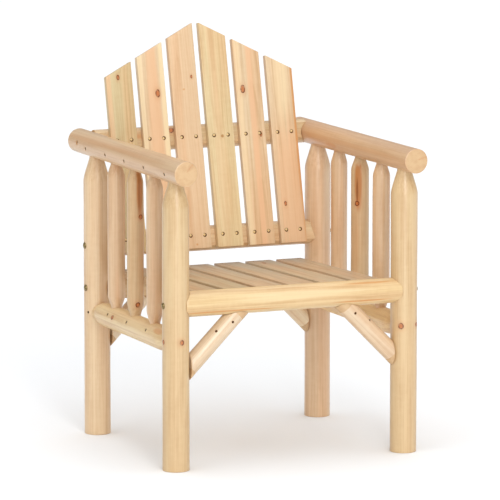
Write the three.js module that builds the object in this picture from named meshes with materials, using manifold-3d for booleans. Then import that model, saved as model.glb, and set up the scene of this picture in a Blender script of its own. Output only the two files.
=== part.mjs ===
// A log-style wooden armchair, in millimetres, +Z up, front towards -Y.
// The floor is z = 0. Round logs are coped, tenoned and bolted together; slats make the seat and back.
import * as THREE from 'three';
import { mergeVertices } from 'three/addons/utils/BufferGeometryUtils.js';
import Module from 'manifold-3d';

const wasm = await Module();
wasm.setup();

// ---- Driving dimensions ----

const LOG_SIDES = 32;
const SPINDLE_SIDES = 24;
const FASTENER_SIDES = 20;

const GAP = 0.3; // clearance that every joint keeps between its two pieces
const EASED_EDGE = 2; // chamfer on the sawn ends of logs

// Leg axes stand at plus and minus these distances from the middle.
const LEG_SPREAD_X = 300;
const LEG_SPREAD_Y = 256.5;
const LEG_RADIUS = 32.5;
const LEG_CONE_HEIGHT = 50;
const LEG_TENON_RADIUS = 16.5;
const LEG_TENON_DEPTH = 36;

const ARM_HEIGHT = 722.3; // height of the arm's axis
const ARM_RADIUS = 30;
const ARM_FRONT_OVERHANG = 68; // past the front leg's axis
const ARM_REAR_OVERHANG = 118.5; // past the rear leg's axis

const SIDE_RAIL_HEIGHT = 308.7;
const SIDE_RAIL_RADIUS = 29.4;
const SIDE_RAIL_END_RADIUS = 19; // where its rounded nose meets the leg
const SIDE_RAIL_NOSE_LENGTH = 56;
const SIDE_RAIL_TENON_RADIUS = 12;
const SIDE_RAIL_TENON_DEPTH = 20;

const SPINDLE_PITCH = 125;
const SPINDLE_CONE_HEIGHT = 26;
const SPINDLE_NECK_RADIUS = 13;
const SPINDLE_TENON_RADIUS = 9.5;
const SPINDLE_TENON_DEPTH = 24;
// Peeled branches differ a little, so each spindle has its own radius, from the rear to the front.
const SPINDLE_RADII = { right: [21.8, 20.4, 20.2], left: [20.6, 22.4, 21.4] };

const FRONT_RAIL_HEIGHT = 400.3;
const FRONT_RAIL_RADIUS = 30.8;
const REAR_RAIL_HEIGHT = 369;
const REAR_RAIL_RADIUS = 32;
const REAR_RAIL_END_RADIUS = 28;
const REAR_RAIL_END_LENGTH = 60;
const REAR_RAIL_FORWARD = 4.5; // the rear seat rail's axis lies this far in front of the leg's axis

const BRACE_RADIUS = 22;
const FRONT_BRACE_REACH = 186; // from the leg's axis to the rail's axis, along and down
const REAR_BRACE_REACH = 154;

const SEAT_SLAT_COUNT = 6;
const SEAT_SLAT_GAP = 16.3;
const SEAT_SLAT_THICKNESS = 18;
const SEAT_SIDE_GAP = 21.25; // between the outer slats and the legs
const SEAT_FRONT_INSET = 8.5; // slat end behind the front rail's axis
const SEAT_REAR_INSET = 12.3; // slat end in front of the rear rail's axis
const SEAT_FRONT_DROP = 3.8; // slat top below the front rail's crest, at the slat's front end
const SEAT_REAR_RISE = 10.1; // slat top above the rear rail's crest, at the slat's rear end
const SEAT_NOTCH_MARGIN = 1.6; // notch past the outer slats, each side

const BACK_SLAT_COUNT = 6;
const BACK_SLAT_GAP = 17.3;
const BACK_SLAT_THICKNESS = 16;
const BACK_SIDE_GAP = 15.75; // between the outer slats and the legs
const BACK_LEAN = THREE.MathUtils.degToRad(13.05);
const BACK_FOOT_DROP = 15; // slat foot below the lower back rail's axis
const BACK_PEAK_LENGTH = 570.8; // slat length where the two slopes of the top meet
const BACK_TOP_PITCH = THREE.MathUtils.degToRad(27.4);
const SLAT_EASED_EDGE = 1.6;

const LOWER_BACK_RAIL_HEIGHT = 474.5;
const LOWER_BACK_RAIL_RADIUS = 31;
const LOWER_BACK_RAIL_FLAT_DEPTH = 7.2; // how far the flat for the slats cuts into the log
const UPPER_BACK_RAIL_RISE = 2; // its axis above the arm's axis
const UPPER_BACK_RAIL_RADIUS = 30;
const UPPER_BACK_RAIL_FLAT_DEPTH = 7;
const UPPER_BACK_RAIL_SHORT = 15; // each end stops this far short of the arm's axis

const BOLT_HEAD_RADIUS = 8;
const BOLT_HEAD_HEIGHT = 5.2;
const BOLT_SHANK_RADIUS = 4;
const BOLT_RAIL_DEPTH = 62; // how far the bolt runs into the rail's end
const BOLT_SEAT_RADIUS = 9; // flat spot faced into the round leg
const BOLT_SEAT_DEPTH = 1.6;

const ARM_SCREW_HEAD_RADIUS = 5;
const ARM_SCREW_HEAD_HEIGHT = 4;
const ARM_SCREW_SHANK_RADIUS = 2.6;
const ARM_SCREW_RAIL_DEPTH = 45;
const ARM_SCREW_RECESS_RADIUS = 6;
const ARM_SCREW_RECESS_DEPTH = 9;

// ---- Sizes that follow from the ones above ----

const LEG_HEIGHT = ARM_HEIGHT - ARM_RADIUS + LEG_TENON_DEPTH;
const ARM_FRONT_Y = -LEG_SPREAD_Y - ARM_FRONT_OVERHANG;
const ARM_REAR_Y = LEG_SPREAD_Y + ARM_REAR_OVERHANG;
const ARM_LENGTH = ARM_REAR_Y - ARM_FRONT_Y;
const REAR_RAIL_Y = LEG_SPREAD_Y - REAR_RAIL_FORWARD;

const SEAT_HALF_WIDTH = LEG_SPREAD_X - LEG_RADIUS - SEAT_SIDE_GAP;
const SEAT_SLAT_PITCH = (2 * SEAT_HALF_WIDTH + SEAT_SLAT_GAP) / SEAT_SLAT_COUNT;
const SEAT_SLAT_WIDTH = SEAT_SLAT_PITCH - SEAT_SLAT_GAP;
const SEAT_FRONT_Y = -LEG_SPREAD_Y + SEAT_FRONT_INSET;
const SEAT_FRONT_Z = FRONT_RAIL_HEIGHT + FRONT_RAIL_RADIUS - SEAT_FRONT_DROP;
const SEAT_RUN = REAR_RAIL_Y - SEAT_REAR_INSET - SEAT_FRONT_Y;
const SEAT_FALL = SEAT_FRONT_Z - (REAR_RAIL_HEIGHT + REAR_RAIL_RADIUS + SEAT_REAR_RISE);
const SEAT_SLAT_LENGTH = Math.hypot(SEAT_RUN, SEAT_FALL);
const SEAT_SLOPE = Math.atan2(SEAT_FALL, SEAT_RUN); // down towards the back

const BACK_HALF_WIDTH = LEG_SPREAD_X - LEG_RADIUS - BACK_SIDE_GAP;
const BACK_SLAT_PITCH = (2 * BACK_HALF_WIDTH + BACK_SLAT_GAP) / BACK_SLAT_COUNT;
const BACK_SLAT_WIDTH = BACK_SLAT_PITCH - BACK_SLAT_GAP;
const UPPER_BACK_RAIL_HEIGHT = ARM_HEIGHT + UPPER_BACK_RAIL_RISE;

// The front lower edge of the back slats, set by the flat of the lower back rail.
const BACK_FOOT_Z = LOWER_BACK_RAIL_HEIGHT - BACK_FOOT_DROP;
const BACK_FOOT_Y = slatFaceY(LEG_SPREAD_Y, LOWER_BACK_RAIL_RADIUS - LOWER_BACK_RAIL_FLAT_DEPTH)
  - BACK_FOOT_DROP * Math.tan(BACK_LEAN);

// Where the slats' front face passes at the height of a back rail's axis.
function slatFaceY(axisY, axisToFlat) {
  return axisY - (axisToFlat + GAP + BACK_SLAT_THICKNESS) / Math.cos(BACK_LEAN);
}

const SIDES = [
  { side: 'right', sign: -1 },
  { side: 'left', sign: 1 },
];
const ENDS = [
  { end: 'front', sign: -1 },
  { end: 'rear', sign: 1 },
];

// ---- Materials ----

function material(color, roughness, metalness) {
  return new THREE.MeshStandardMaterial({ color, roughness, metalness });
}

const logWood = material('#e2c193', 0.6, 0);
const spindleWood = material('#dcb68c', 0.6, 0);
const seatWood = material('#cfae86', 0.65, 0);
const backWood = material('#edc99a', 0.6, 0);
const zincSteel = material('#8f8869', 0.4, 0.9);

// ---- Solids ----

const UP = new THREE.Vector3(0, 1, 0);

// Position-only, merged and free of collapsed triangles, which a boolean needs.
function solidOf(source) {
  const bare = source.index ? source.clone() : mergeVertices(source.clone());
  bare.deleteAttribute('normal');
  bare.deleteAttribute('uv');
  const merged = mergeVertices(bare, 1e-4);
  const index = merged.index.array;
  const kept = [];
  for (let i = 0; i < index.length; i += 3) {
    const [a, b, c] = [index[i], index[i + 1], index[i + 2]];
    if (a !== b && b !== c && c !== a) kept.push(a, b, c);
  }
  const vertProperties = new Float32Array(merged.attributes.position.array);
  const triVerts = new Uint32Array(kept);
  return new wasm.Manifold(new wasm.Mesh({ numProp: 3, vertProperties, triVerts }));
}

function geometryOf(solid) {
  const { vertProperties, triVerts } = solid.getMesh();
  const geometry = new THREE.BufferGeometry();
  geometry.setAttribute('position', new THREE.BufferAttribute(vertProperties, 3));
  geometry.setIndex(new THREE.BufferAttribute(triVerts, 1));
  geometry.computeVertexNormals();
  return geometry;
}

// Where a piece stands: its local +Y axis points along direction from origin.
function placeAlong(origin, direction) {
  const turn = new THREE.Quaternion().setFromUnitVectors(UP, direction.clone().normalize());
  return new THREE.Matrix4().compose(origin, turn, new THREE.Vector3(1, 1, 1));
}

// A named piece, made in its own frame. The joins and cuts are given in the chair's frame.
function piece(name, look, geometry, place, joins = [], cuts = []) {
  const toLocal = place.clone().invert();
  let solid = solidOf(geometry);
  for (const cut of cuts) {
    solid = solid.subtract(solidOf(cut.clone().applyMatrix4(toLocal)));
  }
  for (const join of joins) {
    solid = solid.add(solidOf(join.clone().applyMatrix4(toLocal)));
  }
  const mesh = new THREE.Mesh(geometryOf(solid), look);
  mesh.name = name;
  mesh.applyMatrix4(place);
  return mesh;
}

// A piece whose cuts also go through what was joined to it.
function boredPiece(name, look, geometry, place, joins, cuts, bores) {
  const whole = piece(name, look, geometry, place, joins, cuts);
  whole.updateMatrix();
  return piece(name, look, whole.geometry, whole.matrix, [], bores);
}

// A turned shape whose outline is a list of [radius, height along the axis].
function turned(outline, sides) {
  const points = outline.map(([radius, height]) => new THREE.Vector2(radius, height));
  return new THREE.LatheGeometry(points, sides);
}

// A plain round bar between two points, in the chair's frame.
function bar(from, to, radius, sides) {
  const along = to.clone().sub(from);
  const length = along.length();
  const outline = [[0, 0], [radius, 0], [radius, length], [0, length]];
  return turned(outline, sides).applyMatrix4(placeAlong(from, along));
}

function vec(x, y, z) {
  return new THREE.Vector3(x, y, z);
}

// The shaved end of a post: a rounded shoulder, then a straight cone down to its neck.
function coneOutline(radius, neckRadius, start, height) {
  const shoulder = Math.min(height * 0.3, radius - neckRadius);
  const slope = (radius - neckRadius) / height;
  const curve = new THREE.QuadraticBezierCurve(
    new THREE.Vector2(radius, start - shoulder * 0.6),
    new THREE.Vector2(radius, start),
    new THREE.Vector2(radius - slope * shoulder, start + shoulder),
  );
  const rounded = curve.getPoints(3).map((point) => [point.x, point.y]);
  return [...rounded, [neckRadius, start + height]];
}

// The rounded nose of a rail, from its end inwards.
function noseOutline(radius, endRadius, length) {
  const curve = new THREE.QuadraticBezierCurve(
    new THREE.Vector2(endRadius, 0),
    new THREE.Vector2(radius, length * 0.3),
    new THREE.Vector2(radius, length),
  );
  return curve.getPoints(6).map((point) => [point.x, point.y]);
}

// How far from a post's axis a coped rail's outermost line stops.
function copeReach(postRadius, railRadius) {
  const deepest = Math.sqrt(Math.max(postRadius ** 2 - railRadius ** 2, 0));
  return Math.max(deepest, postRadius * 0.5);
}

// ---- Shared shapes that one piece is made of and its neighbour is cut by ----

function legBar(x, y, clearance) {
  return bar(vec(x, y, -1), vec(x, y, LEG_HEIGHT), LEG_RADIUS + clearance, LOG_SIDES);
}

function legTenon(x, y, clearance) {
  const foot = vec(x, y, ARM_HEIGHT - ARM_RADIUS - LEG_CONE_HEIGHT / 2);
  return bar(foot, vec(x, y, LEG_HEIGHT + clearance), LEG_TENON_RADIUS + clearance, SPINDLE_SIDES);
}

function armBar(x, clearance) {
  const from = vec(x, ARM_FRONT_Y, ARM_HEIGHT);
  return bar(from, vec(x, ARM_REAR_Y, ARM_HEIGHT), ARM_RADIUS + clearance, LOG_SIDES);
}

function sideRailBar(x, clearance) {
  const from = vec(x, -LEG_SPREAD_Y, SIDE_RAIL_HEIGHT);
  const to = vec(x, LEG_SPREAD_Y, SIDE_RAIL_HEIGHT);
  return bar(from, to, SIDE_RAIL_RADIUS + clearance, LOG_SIDES);
}

function sideRailTenon(x, clearance) {
  const reach = LEG_SPREAD_Y - LEG_RADIUS + SIDE_RAIL_TENON_DEPTH + clearance;
  const from = vec(x, -reach, SIDE_RAIL_HEIGHT);
  return bar(from, vec(x, reach, SIDE_RAIL_HEIGHT), SIDE_RAIL_TENON_RADIUS + clearance, SPINDLE_SIDES);
}

function spindleTenon(x, y, clearance) {
  const low = SIDE_RAIL_HEIGHT + SIDE_RAIL_RADIUS - SPINDLE_TENON_DEPTH - clearance;
  const high = ARM_HEIGHT - ARM_RADIUS + SPINDLE_TENON_DEPTH + clearance;
  return bar(vec(x, y, low), vec(x, y, high), SPINDLE_TENON_RADIUS + clearance, SPINDLE_SIDES);
}

function crossBar(y, z, radius) {
  return bar(vec(-LEG_SPREAD_X, y, z), vec(LEG_SPREAD_X, y, z), radius, LOG_SIDES);
}

// The slats' own frames: local X across the chair, local Y along the slat, local Z out of its face.
const seatPlace = new THREE.Matrix4()
  .makeRotationX(-SEAT_SLOPE)
  .setPosition(0, SEAT_FRONT_Y, SEAT_FRONT_Z);
const backPlace = new THREE.Matrix4()
  .makeRotationX(Math.PI / 2 - BACK_LEAN)
  .setPosition(0, BACK_FOOT_Y, BACK_FOOT_Z);

// The space that the seat slats take out of the two seat rails.
function seatNotch() {
  const width = 2 * (SEAT_HALF_WIDTH + SEAT_NOTCH_MARGIN);
  const headroom = FRONT_RAIL_RADIUS;
  const depth = SEAT_SLAT_THICKNESS + GAP + headroom;
  return new THREE.BoxGeometry(width, SEAT_SLAT_LENGTH + 2 * GAP, depth)
    .translate(0, SEAT_SLAT_LENGTH / 2, headroom - depth / 2)
    .applyMatrix4(seatPlace);
}

// Everything in front of the back slats' rear faces, which the back rails are planed flat to.
function backFlat() {
  const depth = 2 * LOWER_BACK_RAIL_RADIUS;
  return new THREE.BoxGeometry(2 * LEG_SPREAD_X, 2 * BACK_PEAK_LENGTH, depth)
    .translate(0, 0, depth / 2 - BACK_SLAT_THICKNESS - GAP)
    .applyMatrix4(backPlace);
}

// The upper back rail's axis, which its flat against the slats fixes.
function upperBackRailY() {
  const faceY = BACK_FOOT_Y + (UPPER_BACK_RAIL_HEIGHT - BACK_FOOT_Z) * Math.tan(BACK_LEAN);
  return faceY - slatFaceY(0, UPPER_BACK_RAIL_RADIUS - UPPER_BACK_RAIL_FLAT_DEPTH);
}

// ---- Fasteners ----

// Rails that a bolt holds at each end.
const BOLTED_RAILS = [
  { rail: 'front_seat_rail', legEnd: 'front', y: -LEG_SPREAD_Y, z: FRONT_RAIL_HEIGHT },
  { rail: 'rear_seat_rail', legEnd: 'rear', y: REAR_RAIL_Y, z: REAR_RAIL_HEIGHT },
  { rail: 'lower_back_rail', legEnd: 'rear', y: LEG_SPREAD_Y, z: LOWER_BACK_RAIL_HEIGHT },
];

const BOLT_SEAT_X = LEG_SPREAD_X + LEG_RADIUS - BOLT_SEAT_DEPTH;
const BOLT_TIP_X = LEG_SPREAD_X - LEG_RADIUS - BOLT_RAIL_DEPTH;

function boltBore(sign, y, z) {
  const from = vec(sign * (BOLT_TIP_X - GAP), y, z);
  return bar(from, vec(sign * (BOLT_SEAT_X + LEG_RADIUS), y, z), BOLT_SHANK_RADIUS + GAP, FASTENER_SIDES);
}

function boltSeat(sign, y, z) {
  const from = vec(sign * BOLT_SEAT_X, y, z);
  return bar(from, vec(sign * (BOLT_SEAT_X + LEG_RADIUS), y, z), BOLT_SEAT_RADIUS, FASTENER_SIDES);
}

// A domed bolt: local +Y runs from its tip to its head.
function bolt(name, sign, y, z) {
  const shank = BOLT_SEAT_X + GAP - BOLT_TIP_X;
  const dome = new THREE.QuadraticBezierCurve(
    new THREE.Vector2(BOLT_HEAD_RADIUS, shank + BOLT_HEAD_HEIGHT * 0.25),
    new THREE.Vector2(BOLT_HEAD_RADIUS * 0.8, shank + BOLT_HEAD_HEIGHT),
    new THREE.Vector2(0, shank + BOLT_HEAD_HEIGHT),
  );
  const tip = BOLT_SHANK_RADIUS * 0.6;
  const outline = [
    [0, 0],
    [tip, 0],
    [BOLT_SHANK_RADIUS, BOLT_SHANK_RADIUS - tip],
    [BOLT_SHANK_RADIUS, shank],
    [BOLT_HEAD_RADIUS, shank],
    ...dome.getPoints(5).map((point) => [point.x, point.y]),
  ];
  const place = placeAlong(vec(sign * BOLT_TIP_X, y, z), vec(sign, 0, 0));
  return piece(name, zincSteel, turned(outline, FASTENER_SIDES), place);
}

const ARM_SCREW_SEAT_X = LEG_SPREAD_X + ARM_RADIUS - ARM_SCREW_RECESS_DEPTH;
const ARM_SCREW_TIP_X = LEG_SPREAD_X - ARM_RADIUS - ARM_SCREW_RAIL_DEPTH;

function armScrewBores(sign) {
  const y = upperBackRailY();
  const z = UPPER_BACK_RAIL_HEIGHT;
  const tip = vec(sign * (ARM_SCREW_TIP_X - GAP), y, z);
  const seat = vec(sign * ARM_SCREW_SEAT_X, y, z);
  const outside = vec(sign * (LEG_SPREAD_X + 2 * ARM_RADIUS), y, z);
  return [
    bar(tip, outside, ARM_SCREW_SHANK_RADIUS + GAP, FASTENER_SIDES),
    bar(seat, outside, ARM_SCREW_RECESS_RADIUS, FASTENER_SIDES),
  ];
}

// The screw that runs through an arm into the end of the upper back rail.
function armScrew(name, sign) {
  const shank = ARM_SCREW_SEAT_X + GAP - ARM_SCREW_TIP_X;
  const crown = ARM_SCREW_HEAD_RADIUS * 0.6;
  const outline = [
    [0, 0],
    [ARM_SCREW_SHANK_RADIUS, 2 * ARM_SCREW_SHANK_RADIUS],
    [ARM_SCREW_SHANK_RADIUS, shank],
    [ARM_SCREW_HEAD_RADIUS, shank],
    [ARM_SCREW_HEAD_RADIUS, shank + ARM_SCREW_HEAD_HEIGHT / 2],
    [crown, shank + ARM_SCREW_HEAD_HEIGHT],
    [0, shank + ARM_SCREW_HEAD_HEIGHT],
  ];
  const tip = vec(sign * ARM_SCREW_TIP_X, upperBackRailY(), UPPER_BACK_RAIL_HEIGHT);
  return piece(name, zincSteel, turned(outline, FASTENER_SIDES), placeAlong(tip, vec(sign, 0, 0)));
}

// ---- Wooden pieces ----

// A leg stands on its sawn foot; its coned top carries the tenon that enters the arm.
function leg(end, endSign, side, sideSign) {
  const x = sideSign * LEG_SPREAD_X;
  const y = endSign * LEG_SPREAD_Y;
  const coneStart = ARM_HEIGHT - ARM_RADIUS - LEG_CONE_HEIGHT;
  const cone = coneOutline(LEG_RADIUS, LEG_TENON_RADIUS + 1, coneStart, LEG_CONE_HEIGHT);
  const coneTop = ARM_HEIGHT - ARM_RADIUS + 2;
  const outline = [
    [0, 0],
    [LEG_RADIUS - EASED_EDGE, 0],
    [LEG_RADIUS, EASED_EDGE],
    ...cone,
    [LEG_TENON_RADIUS, coneTop],
    [0, coneTop],
  ];
  const bolts = BOLTED_RAILS.filter(({ legEnd }) => legEnd === end);
  const bores = bolts.flatMap((rail) => [
    boltBore(sideSign, rail.y, rail.z),
    boltSeat(sideSign, rail.y, rail.z),
  ]);
  const joins = [legTenon(x, y, 0)];
  const cuts = [armBar(x, GAP)];
  const mortises = [sideRailTenon(x, GAP), ...bores];
  const place = placeAlong(vec(x, y, 0), vec(0, 0, 1));
  return boredPiece(`${end}_leg_${side}`, logWood, turned(outline, LOG_SIDES), place, joins, cuts, mortises);
}

// An arm is a straight log with sawn ends, bored from below for two legs and three spindles.
function arm(side, sideSign) {
  const x = sideSign * LEG_SPREAD_X;
  const outline = [
    [0, 0],
    [ARM_RADIUS - EASED_EDGE, 0],
    [ARM_RADIUS, EASED_EDGE],
    [ARM_RADIUS, ARM_LENGTH - EASED_EDGE],
    [ARM_RADIUS - EASED_EDGE, ARM_LENGTH],
    [0, ARM_LENGTH],
  ];
  const mortises = [
    ...ENDS.map(({ sign }) => legTenon(x, sign * LEG_SPREAD_Y, GAP)),
    ...spindleRows().map((y) => spindleTenon(x, y, GAP)),
    ...armScrewBores(sideSign),
  ];
  const place = placeAlong(vec(x, ARM_FRONT_Y, ARM_HEIGHT), vec(0, 1, 0));
  return piece(`arm_${side}`, logWood, turned(outline, LOG_SIDES), place, [], mortises);
}

function spindleRows() {
  return [SPINDLE_PITCH, 0, -SPINDLE_PITCH];
}

// A side rail has rounded noses that are coped to the legs and tenoned into them. It is bored from above
// for the spindles.
function sideRail(side, sideSign) {
  const x = sideSign * LEG_SPREAD_X;
  const half = LEG_SPREAD_Y - copeReach(LEG_RADIUS, SIDE_RAIL_END_RADIUS);
  const nose = noseOutline(SIDE_RAIL_RADIUS, SIDE_RAIL_END_RADIUS, SIDE_RAIL_NOSE_LENGTH);
  const farNose = nose.map(([radius, along]) => [radius, 2 * half - along]).reverse();
  const outline = [[0, 0], ...nose, ...farNose, [0, 2 * half]];
  const copes = ENDS.map(({ sign }) => legBar(x, sign * LEG_SPREAD_Y, GAP));
  const mortises = spindleRows().map((y) => spindleTenon(x, y, GAP));
  const place = placeAlong(vec(x, -half, SIDE_RAIL_HEIGHT), vec(0, 1, 0));
  const log = turned(outline, LOG_SIDES);
  return boredPiece(`side_rail_${side}`, logWood, log, place, [sideRailTenon(x, 0)], copes, mortises);
}

// A spindle is coned at both ends, with one tenon in the side rail and one in the arm.
function spindle(side, sideSign, number, y) {
  const x = sideSign * LEG_SPREAD_X;
  const radius = SPINDLE_RADII[side][number - 1];
  const low = SIDE_RAIL_HEIGHT + SIDE_RAIL_RADIUS;
  const length = ARM_HEIGHT - ARM_RADIUS - low;
  const neck = SPINDLE_NECK_RADIUS;
  const top = coneOutline(radius, neck, length - SPINDLE_CONE_HEIGHT, SPINDLE_CONE_HEIGHT);
  const bottom = top.map(([r, height]) => [r, length - height]).reverse();
  const overrun = 1.5; // the neck runs on into the cope
  const outline = [
    [0, -overrun],
    [neck, -overrun],
    ...bottom,
    ...top,
    [neck, length + overrun],
    [0, length + overrun],
  ];
  const cuts = [armBar(x, GAP), sideRailBar(x, GAP)];
  const place = placeAlong(vec(x, y, low), vec(0, 0, 1));
  const name = `spindle_${side}_${number}`;
  return piece(name, spindleWood, turned(outline, SPINDLE_SIDES), place, [spindleTenon(x, y, 0)], cuts);
}

// A rail across the chair, coped to a leg at each end.
function crossRail(name, y, z, outline, half, cuts) {
  const legY = Math.sign(y) * LEG_SPREAD_Y;
  const copes = SIDES.map(({ sign }) => legBar(sign * LEG_SPREAD_X, legY, GAP));
  const bores = SIDES.map(({ sign }) => boltBore(sign, y, z));
  const place = placeAlong(vec(-half, y, z), vec(1, 0, 0));
  return piece(name, logWood, turned(outline, LOG_SIDES), place, [], [...copes, ...bores, ...cuts]);
}

function frontSeatRail() {
  const half = LEG_SPREAD_X - copeReach(LEG_RADIUS, FRONT_RAIL_RADIUS);
  const outline = [[0, 0], [FRONT_RAIL_RADIUS, 0], [FRONT_RAIL_RADIUS, 2 * half], [0, 2 * half]];
  return crossRail('front_seat_rail', -LEG_SPREAD_Y, FRONT_RAIL_HEIGHT, outline, half, [seatNotch()]);
}

// The rear seat rail is thinner at its ends, so that it stays within the legs.
function rearSeatRail() {
  const half = LEG_SPREAD_X - copeReach(LEG_RADIUS, REAR_RAIL_END_RADIUS);
  const outline = [
    [0, 0],
    [REAR_RAIL_END_RADIUS, 0],
    [REAR_RAIL_RADIUS, REAR_RAIL_END_LENGTH],
    [REAR_RAIL_RADIUS, 2 * half - REAR_RAIL_END_LENGTH],
    [REAR_RAIL_END_RADIUS, 2 * half],
    [0, 2 * half],
  ];
  return crossRail('rear_seat_rail', REAR_RAIL_Y, REAR_RAIL_HEIGHT, outline, half, [seatNotch()]);
}

function lowerBackRail() {
  const radius = LOWER_BACK_RAIL_RADIUS;
  const half = LEG_SPREAD_X - copeReach(LEG_RADIUS, radius);
  const outline = [[0, 0], [radius, 0], [radius, 2 * half], [0, 2 * half]];
  return crossRail('lower_back_rail', LEG_SPREAD_Y, LOWER_BACK_RAIL_HEIGHT, outline, half, [backFlat()]);
}

// The upper back rail runs between the arms, behind the rear legs, and is coped to the arms' inner sides.
function upperBackRail() {
  const radius = UPPER_BACK_RAIL_RADIUS;
  const half = LEG_SPREAD_X - UPPER_BACK_RAIL_SHORT;
  const outline = [[0, 0], [radius, 0], [radius, 2 * half], [0, 2 * half]];
  const cuts = SIDES.flatMap(({ sign }) => [armBar(sign * LEG_SPREAD_X, GAP), armScrewBores(sign)[0]]);
  const place = placeAlong(vec(-half, upperBackRailY(), UPPER_BACK_RAIL_HEIGHT), vec(1, 0, 0));
  return piece('upper_back_rail', logWood, turned(outline, LOG_SIDES), place, [], [...cuts, backFlat()]);
}

// A diagonal brace: sawn upright where it stands against the leg, and coped to the underside of the rail.
function brace(name, sideSign, braceY, rail, reach) {
  const lowEnd = vec(sideSign * LEG_SPREAD_X, braceY, rail.z - reach);
  const highEnd = vec(sideSign * (LEG_SPREAD_X - reach), braceY, rail.z);
  const length = lowEnd.distanceTo(highEnd);
  const outline = [[0, 0], [BRACE_RADIUS, 0], [BRACE_RADIUS, length], [0, length]];
  const face = LEG_SPREAD_X - LEG_RADIUS - GAP;
  const legSide = new THREE.BoxGeometry(2 * LEG_RADIUS, 4 * LEG_RADIUS, 2 * reach)
    .translate(sideSign * (face + LEG_RADIUS), braceY, rail.z - reach);
  const cuts = [legSide, crossBar(rail.y, rail.z, rail.radius + GAP)];
  const place = placeAlong(lowEnd, highEnd.clone().sub(lowEnd));
  return piece(name, logWood, turned(outline, SPINDLE_SIDES), place, [], cuts);
}

// A board with eased edges, from its outline across and along, with its face at local z = 0.
function board(name, look, outline, thickness, x) {
  const shape = new THREE.Shape(outline.map(([across, along]) => new THREE.Vector2(across, along)));
  const geometry = new THREE.ExtrudeGeometry(shape, {
    depth: thickness - 2 * SLAT_EASED_EDGE,
    bevelEnabled: true,
    bevelThickness: SLAT_EASED_EDGE,
    bevelSize: SLAT_EASED_EDGE,
    bevelOffset: -SLAT_EASED_EDGE,
    bevelSegments: 1,
  }).translate(0, 0, SLAT_EASED_EDGE - thickness);
  return piece(name, look, geometry, new THREE.Matrix4().makeTranslation(x, 0, 0));
}

function slatOffset(index, count, pitch) {
  return (index - (count - 1) / 2) * pitch;
}

// The seat slats run from the front rail's notch to the rear rail's notch.
function seat() {
  const group = new THREE.Group();
  group.applyMatrix4(seatPlace);
  const half = SEAT_SLAT_WIDTH / 2;
  const outline = [[-half, 0], [half, 0], [half, SEAT_SLAT_LENGTH], [-half, SEAT_SLAT_LENGTH]];
  for (let index = 0; index < SEAT_SLAT_COUNT; index += 1) {
    const x = slatOffset(index, SEAT_SLAT_COUNT, SEAT_SLAT_PITCH);
    group.add(board(`seat_slat_${index + 1}`, seatWood, outline, SEAT_SLAT_THICKNESS, x));
  }
  return group;
}

// The back slats lean together; their tops are sawn to two slopes that meet over the middle.
function back() {
  const group = new THREE.Group();
  group.applyMatrix4(backPlace);
  const half = BACK_SLAT_WIDTH / 2;
  const topAt = (across) => BACK_PEAK_LENGTH - Math.tan(BACK_TOP_PITCH) * Math.abs(across);
  for (let index = 0; index < BACK_SLAT_COUNT; index += 1) {
    const x = slatOffset(index, BACK_SLAT_COUNT, BACK_SLAT_PITCH);
    const outline = [[-half, 0], [half, 0], [half, topAt(x + half)], [-half, topAt(x - half)]];
    group.add(board(`back_slat_${index + 1}`, backWood, outline, BACK_SLAT_THICKNESS, x));
  }
  return group;
}

// ---- Assembly ----

const chair = new THREE.Group();
chair.position.y = -(ARM_FRONT_Y + ARM_REAR_Y) / 2; // centres the chair's box on the origin

const FRONT_RAIL = { y: -LEG_SPREAD_Y, z: FRONT_RAIL_HEIGHT, radius: FRONT_RAIL_RADIUS };
const REAR_RAIL = { y: REAR_RAIL_Y, z: REAR_RAIL_HEIGHT, radius: REAR_RAIL_RADIUS };

for (const { side, sign } of SIDES) {
  for (const { end, sign: endSign } of ENDS) {
    chair.add(leg(end, endSign, side, sign));
  }
  chair.add(arm(side, sign));
  chair.add(sideRail(side, sign));
  spindleRows().forEach((y, index) => chair.add(spindle(side, sign, index + 1, y)));
  chair.add(brace(`front_brace_${side}`, sign, -LEG_SPREAD_Y, FRONT_RAIL, FRONT_BRACE_REACH));
  chair.add(brace(`rear_brace_${side}`, sign, LEG_SPREAD_Y, REAR_RAIL, REAR_BRACE_REACH));
  for (const { rail, y, z } of BOLTED_RAILS) {
    chair.add(bolt(`${rail}_bolt_${side}`, sign, y, z));
  }
  chair.add(armScrew(`arm_screw_${side}`, sign));
}
chair.add(frontSeatRail(), rearSeatRail(), lowerBackRail(), upperBackRail(), seat(), back());

export default chair;
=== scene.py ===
import math

import bmesh
import bpy
import numpy as np
from mathutils import Matrix, Vector, noise


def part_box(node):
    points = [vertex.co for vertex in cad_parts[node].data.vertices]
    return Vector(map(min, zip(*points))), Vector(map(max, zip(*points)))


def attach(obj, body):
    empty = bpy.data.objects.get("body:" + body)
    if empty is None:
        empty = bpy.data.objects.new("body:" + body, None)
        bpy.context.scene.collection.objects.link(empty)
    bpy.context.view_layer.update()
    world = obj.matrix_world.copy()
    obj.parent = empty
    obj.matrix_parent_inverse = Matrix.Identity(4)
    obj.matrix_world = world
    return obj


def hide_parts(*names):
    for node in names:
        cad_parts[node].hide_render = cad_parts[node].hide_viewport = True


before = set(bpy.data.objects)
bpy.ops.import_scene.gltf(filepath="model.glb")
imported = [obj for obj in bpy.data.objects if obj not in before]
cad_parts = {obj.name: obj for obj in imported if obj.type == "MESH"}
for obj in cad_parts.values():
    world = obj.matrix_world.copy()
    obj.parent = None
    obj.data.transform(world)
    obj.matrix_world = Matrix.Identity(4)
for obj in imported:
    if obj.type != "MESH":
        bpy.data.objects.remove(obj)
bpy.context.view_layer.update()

# A log-style wooden armchair of peeled fir: round logs, sawn slats, bolts, screws and nails.
# Metres, +Z up, front towards -Y. The sitter's right side is at -X.

MM = 0.001
BODY = "root"
SIDES = (("right", -1), ("left", 1))
ENDS = (("front", -1), ("rear", 1))


# ---- Sizes read from the frame ----

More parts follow.
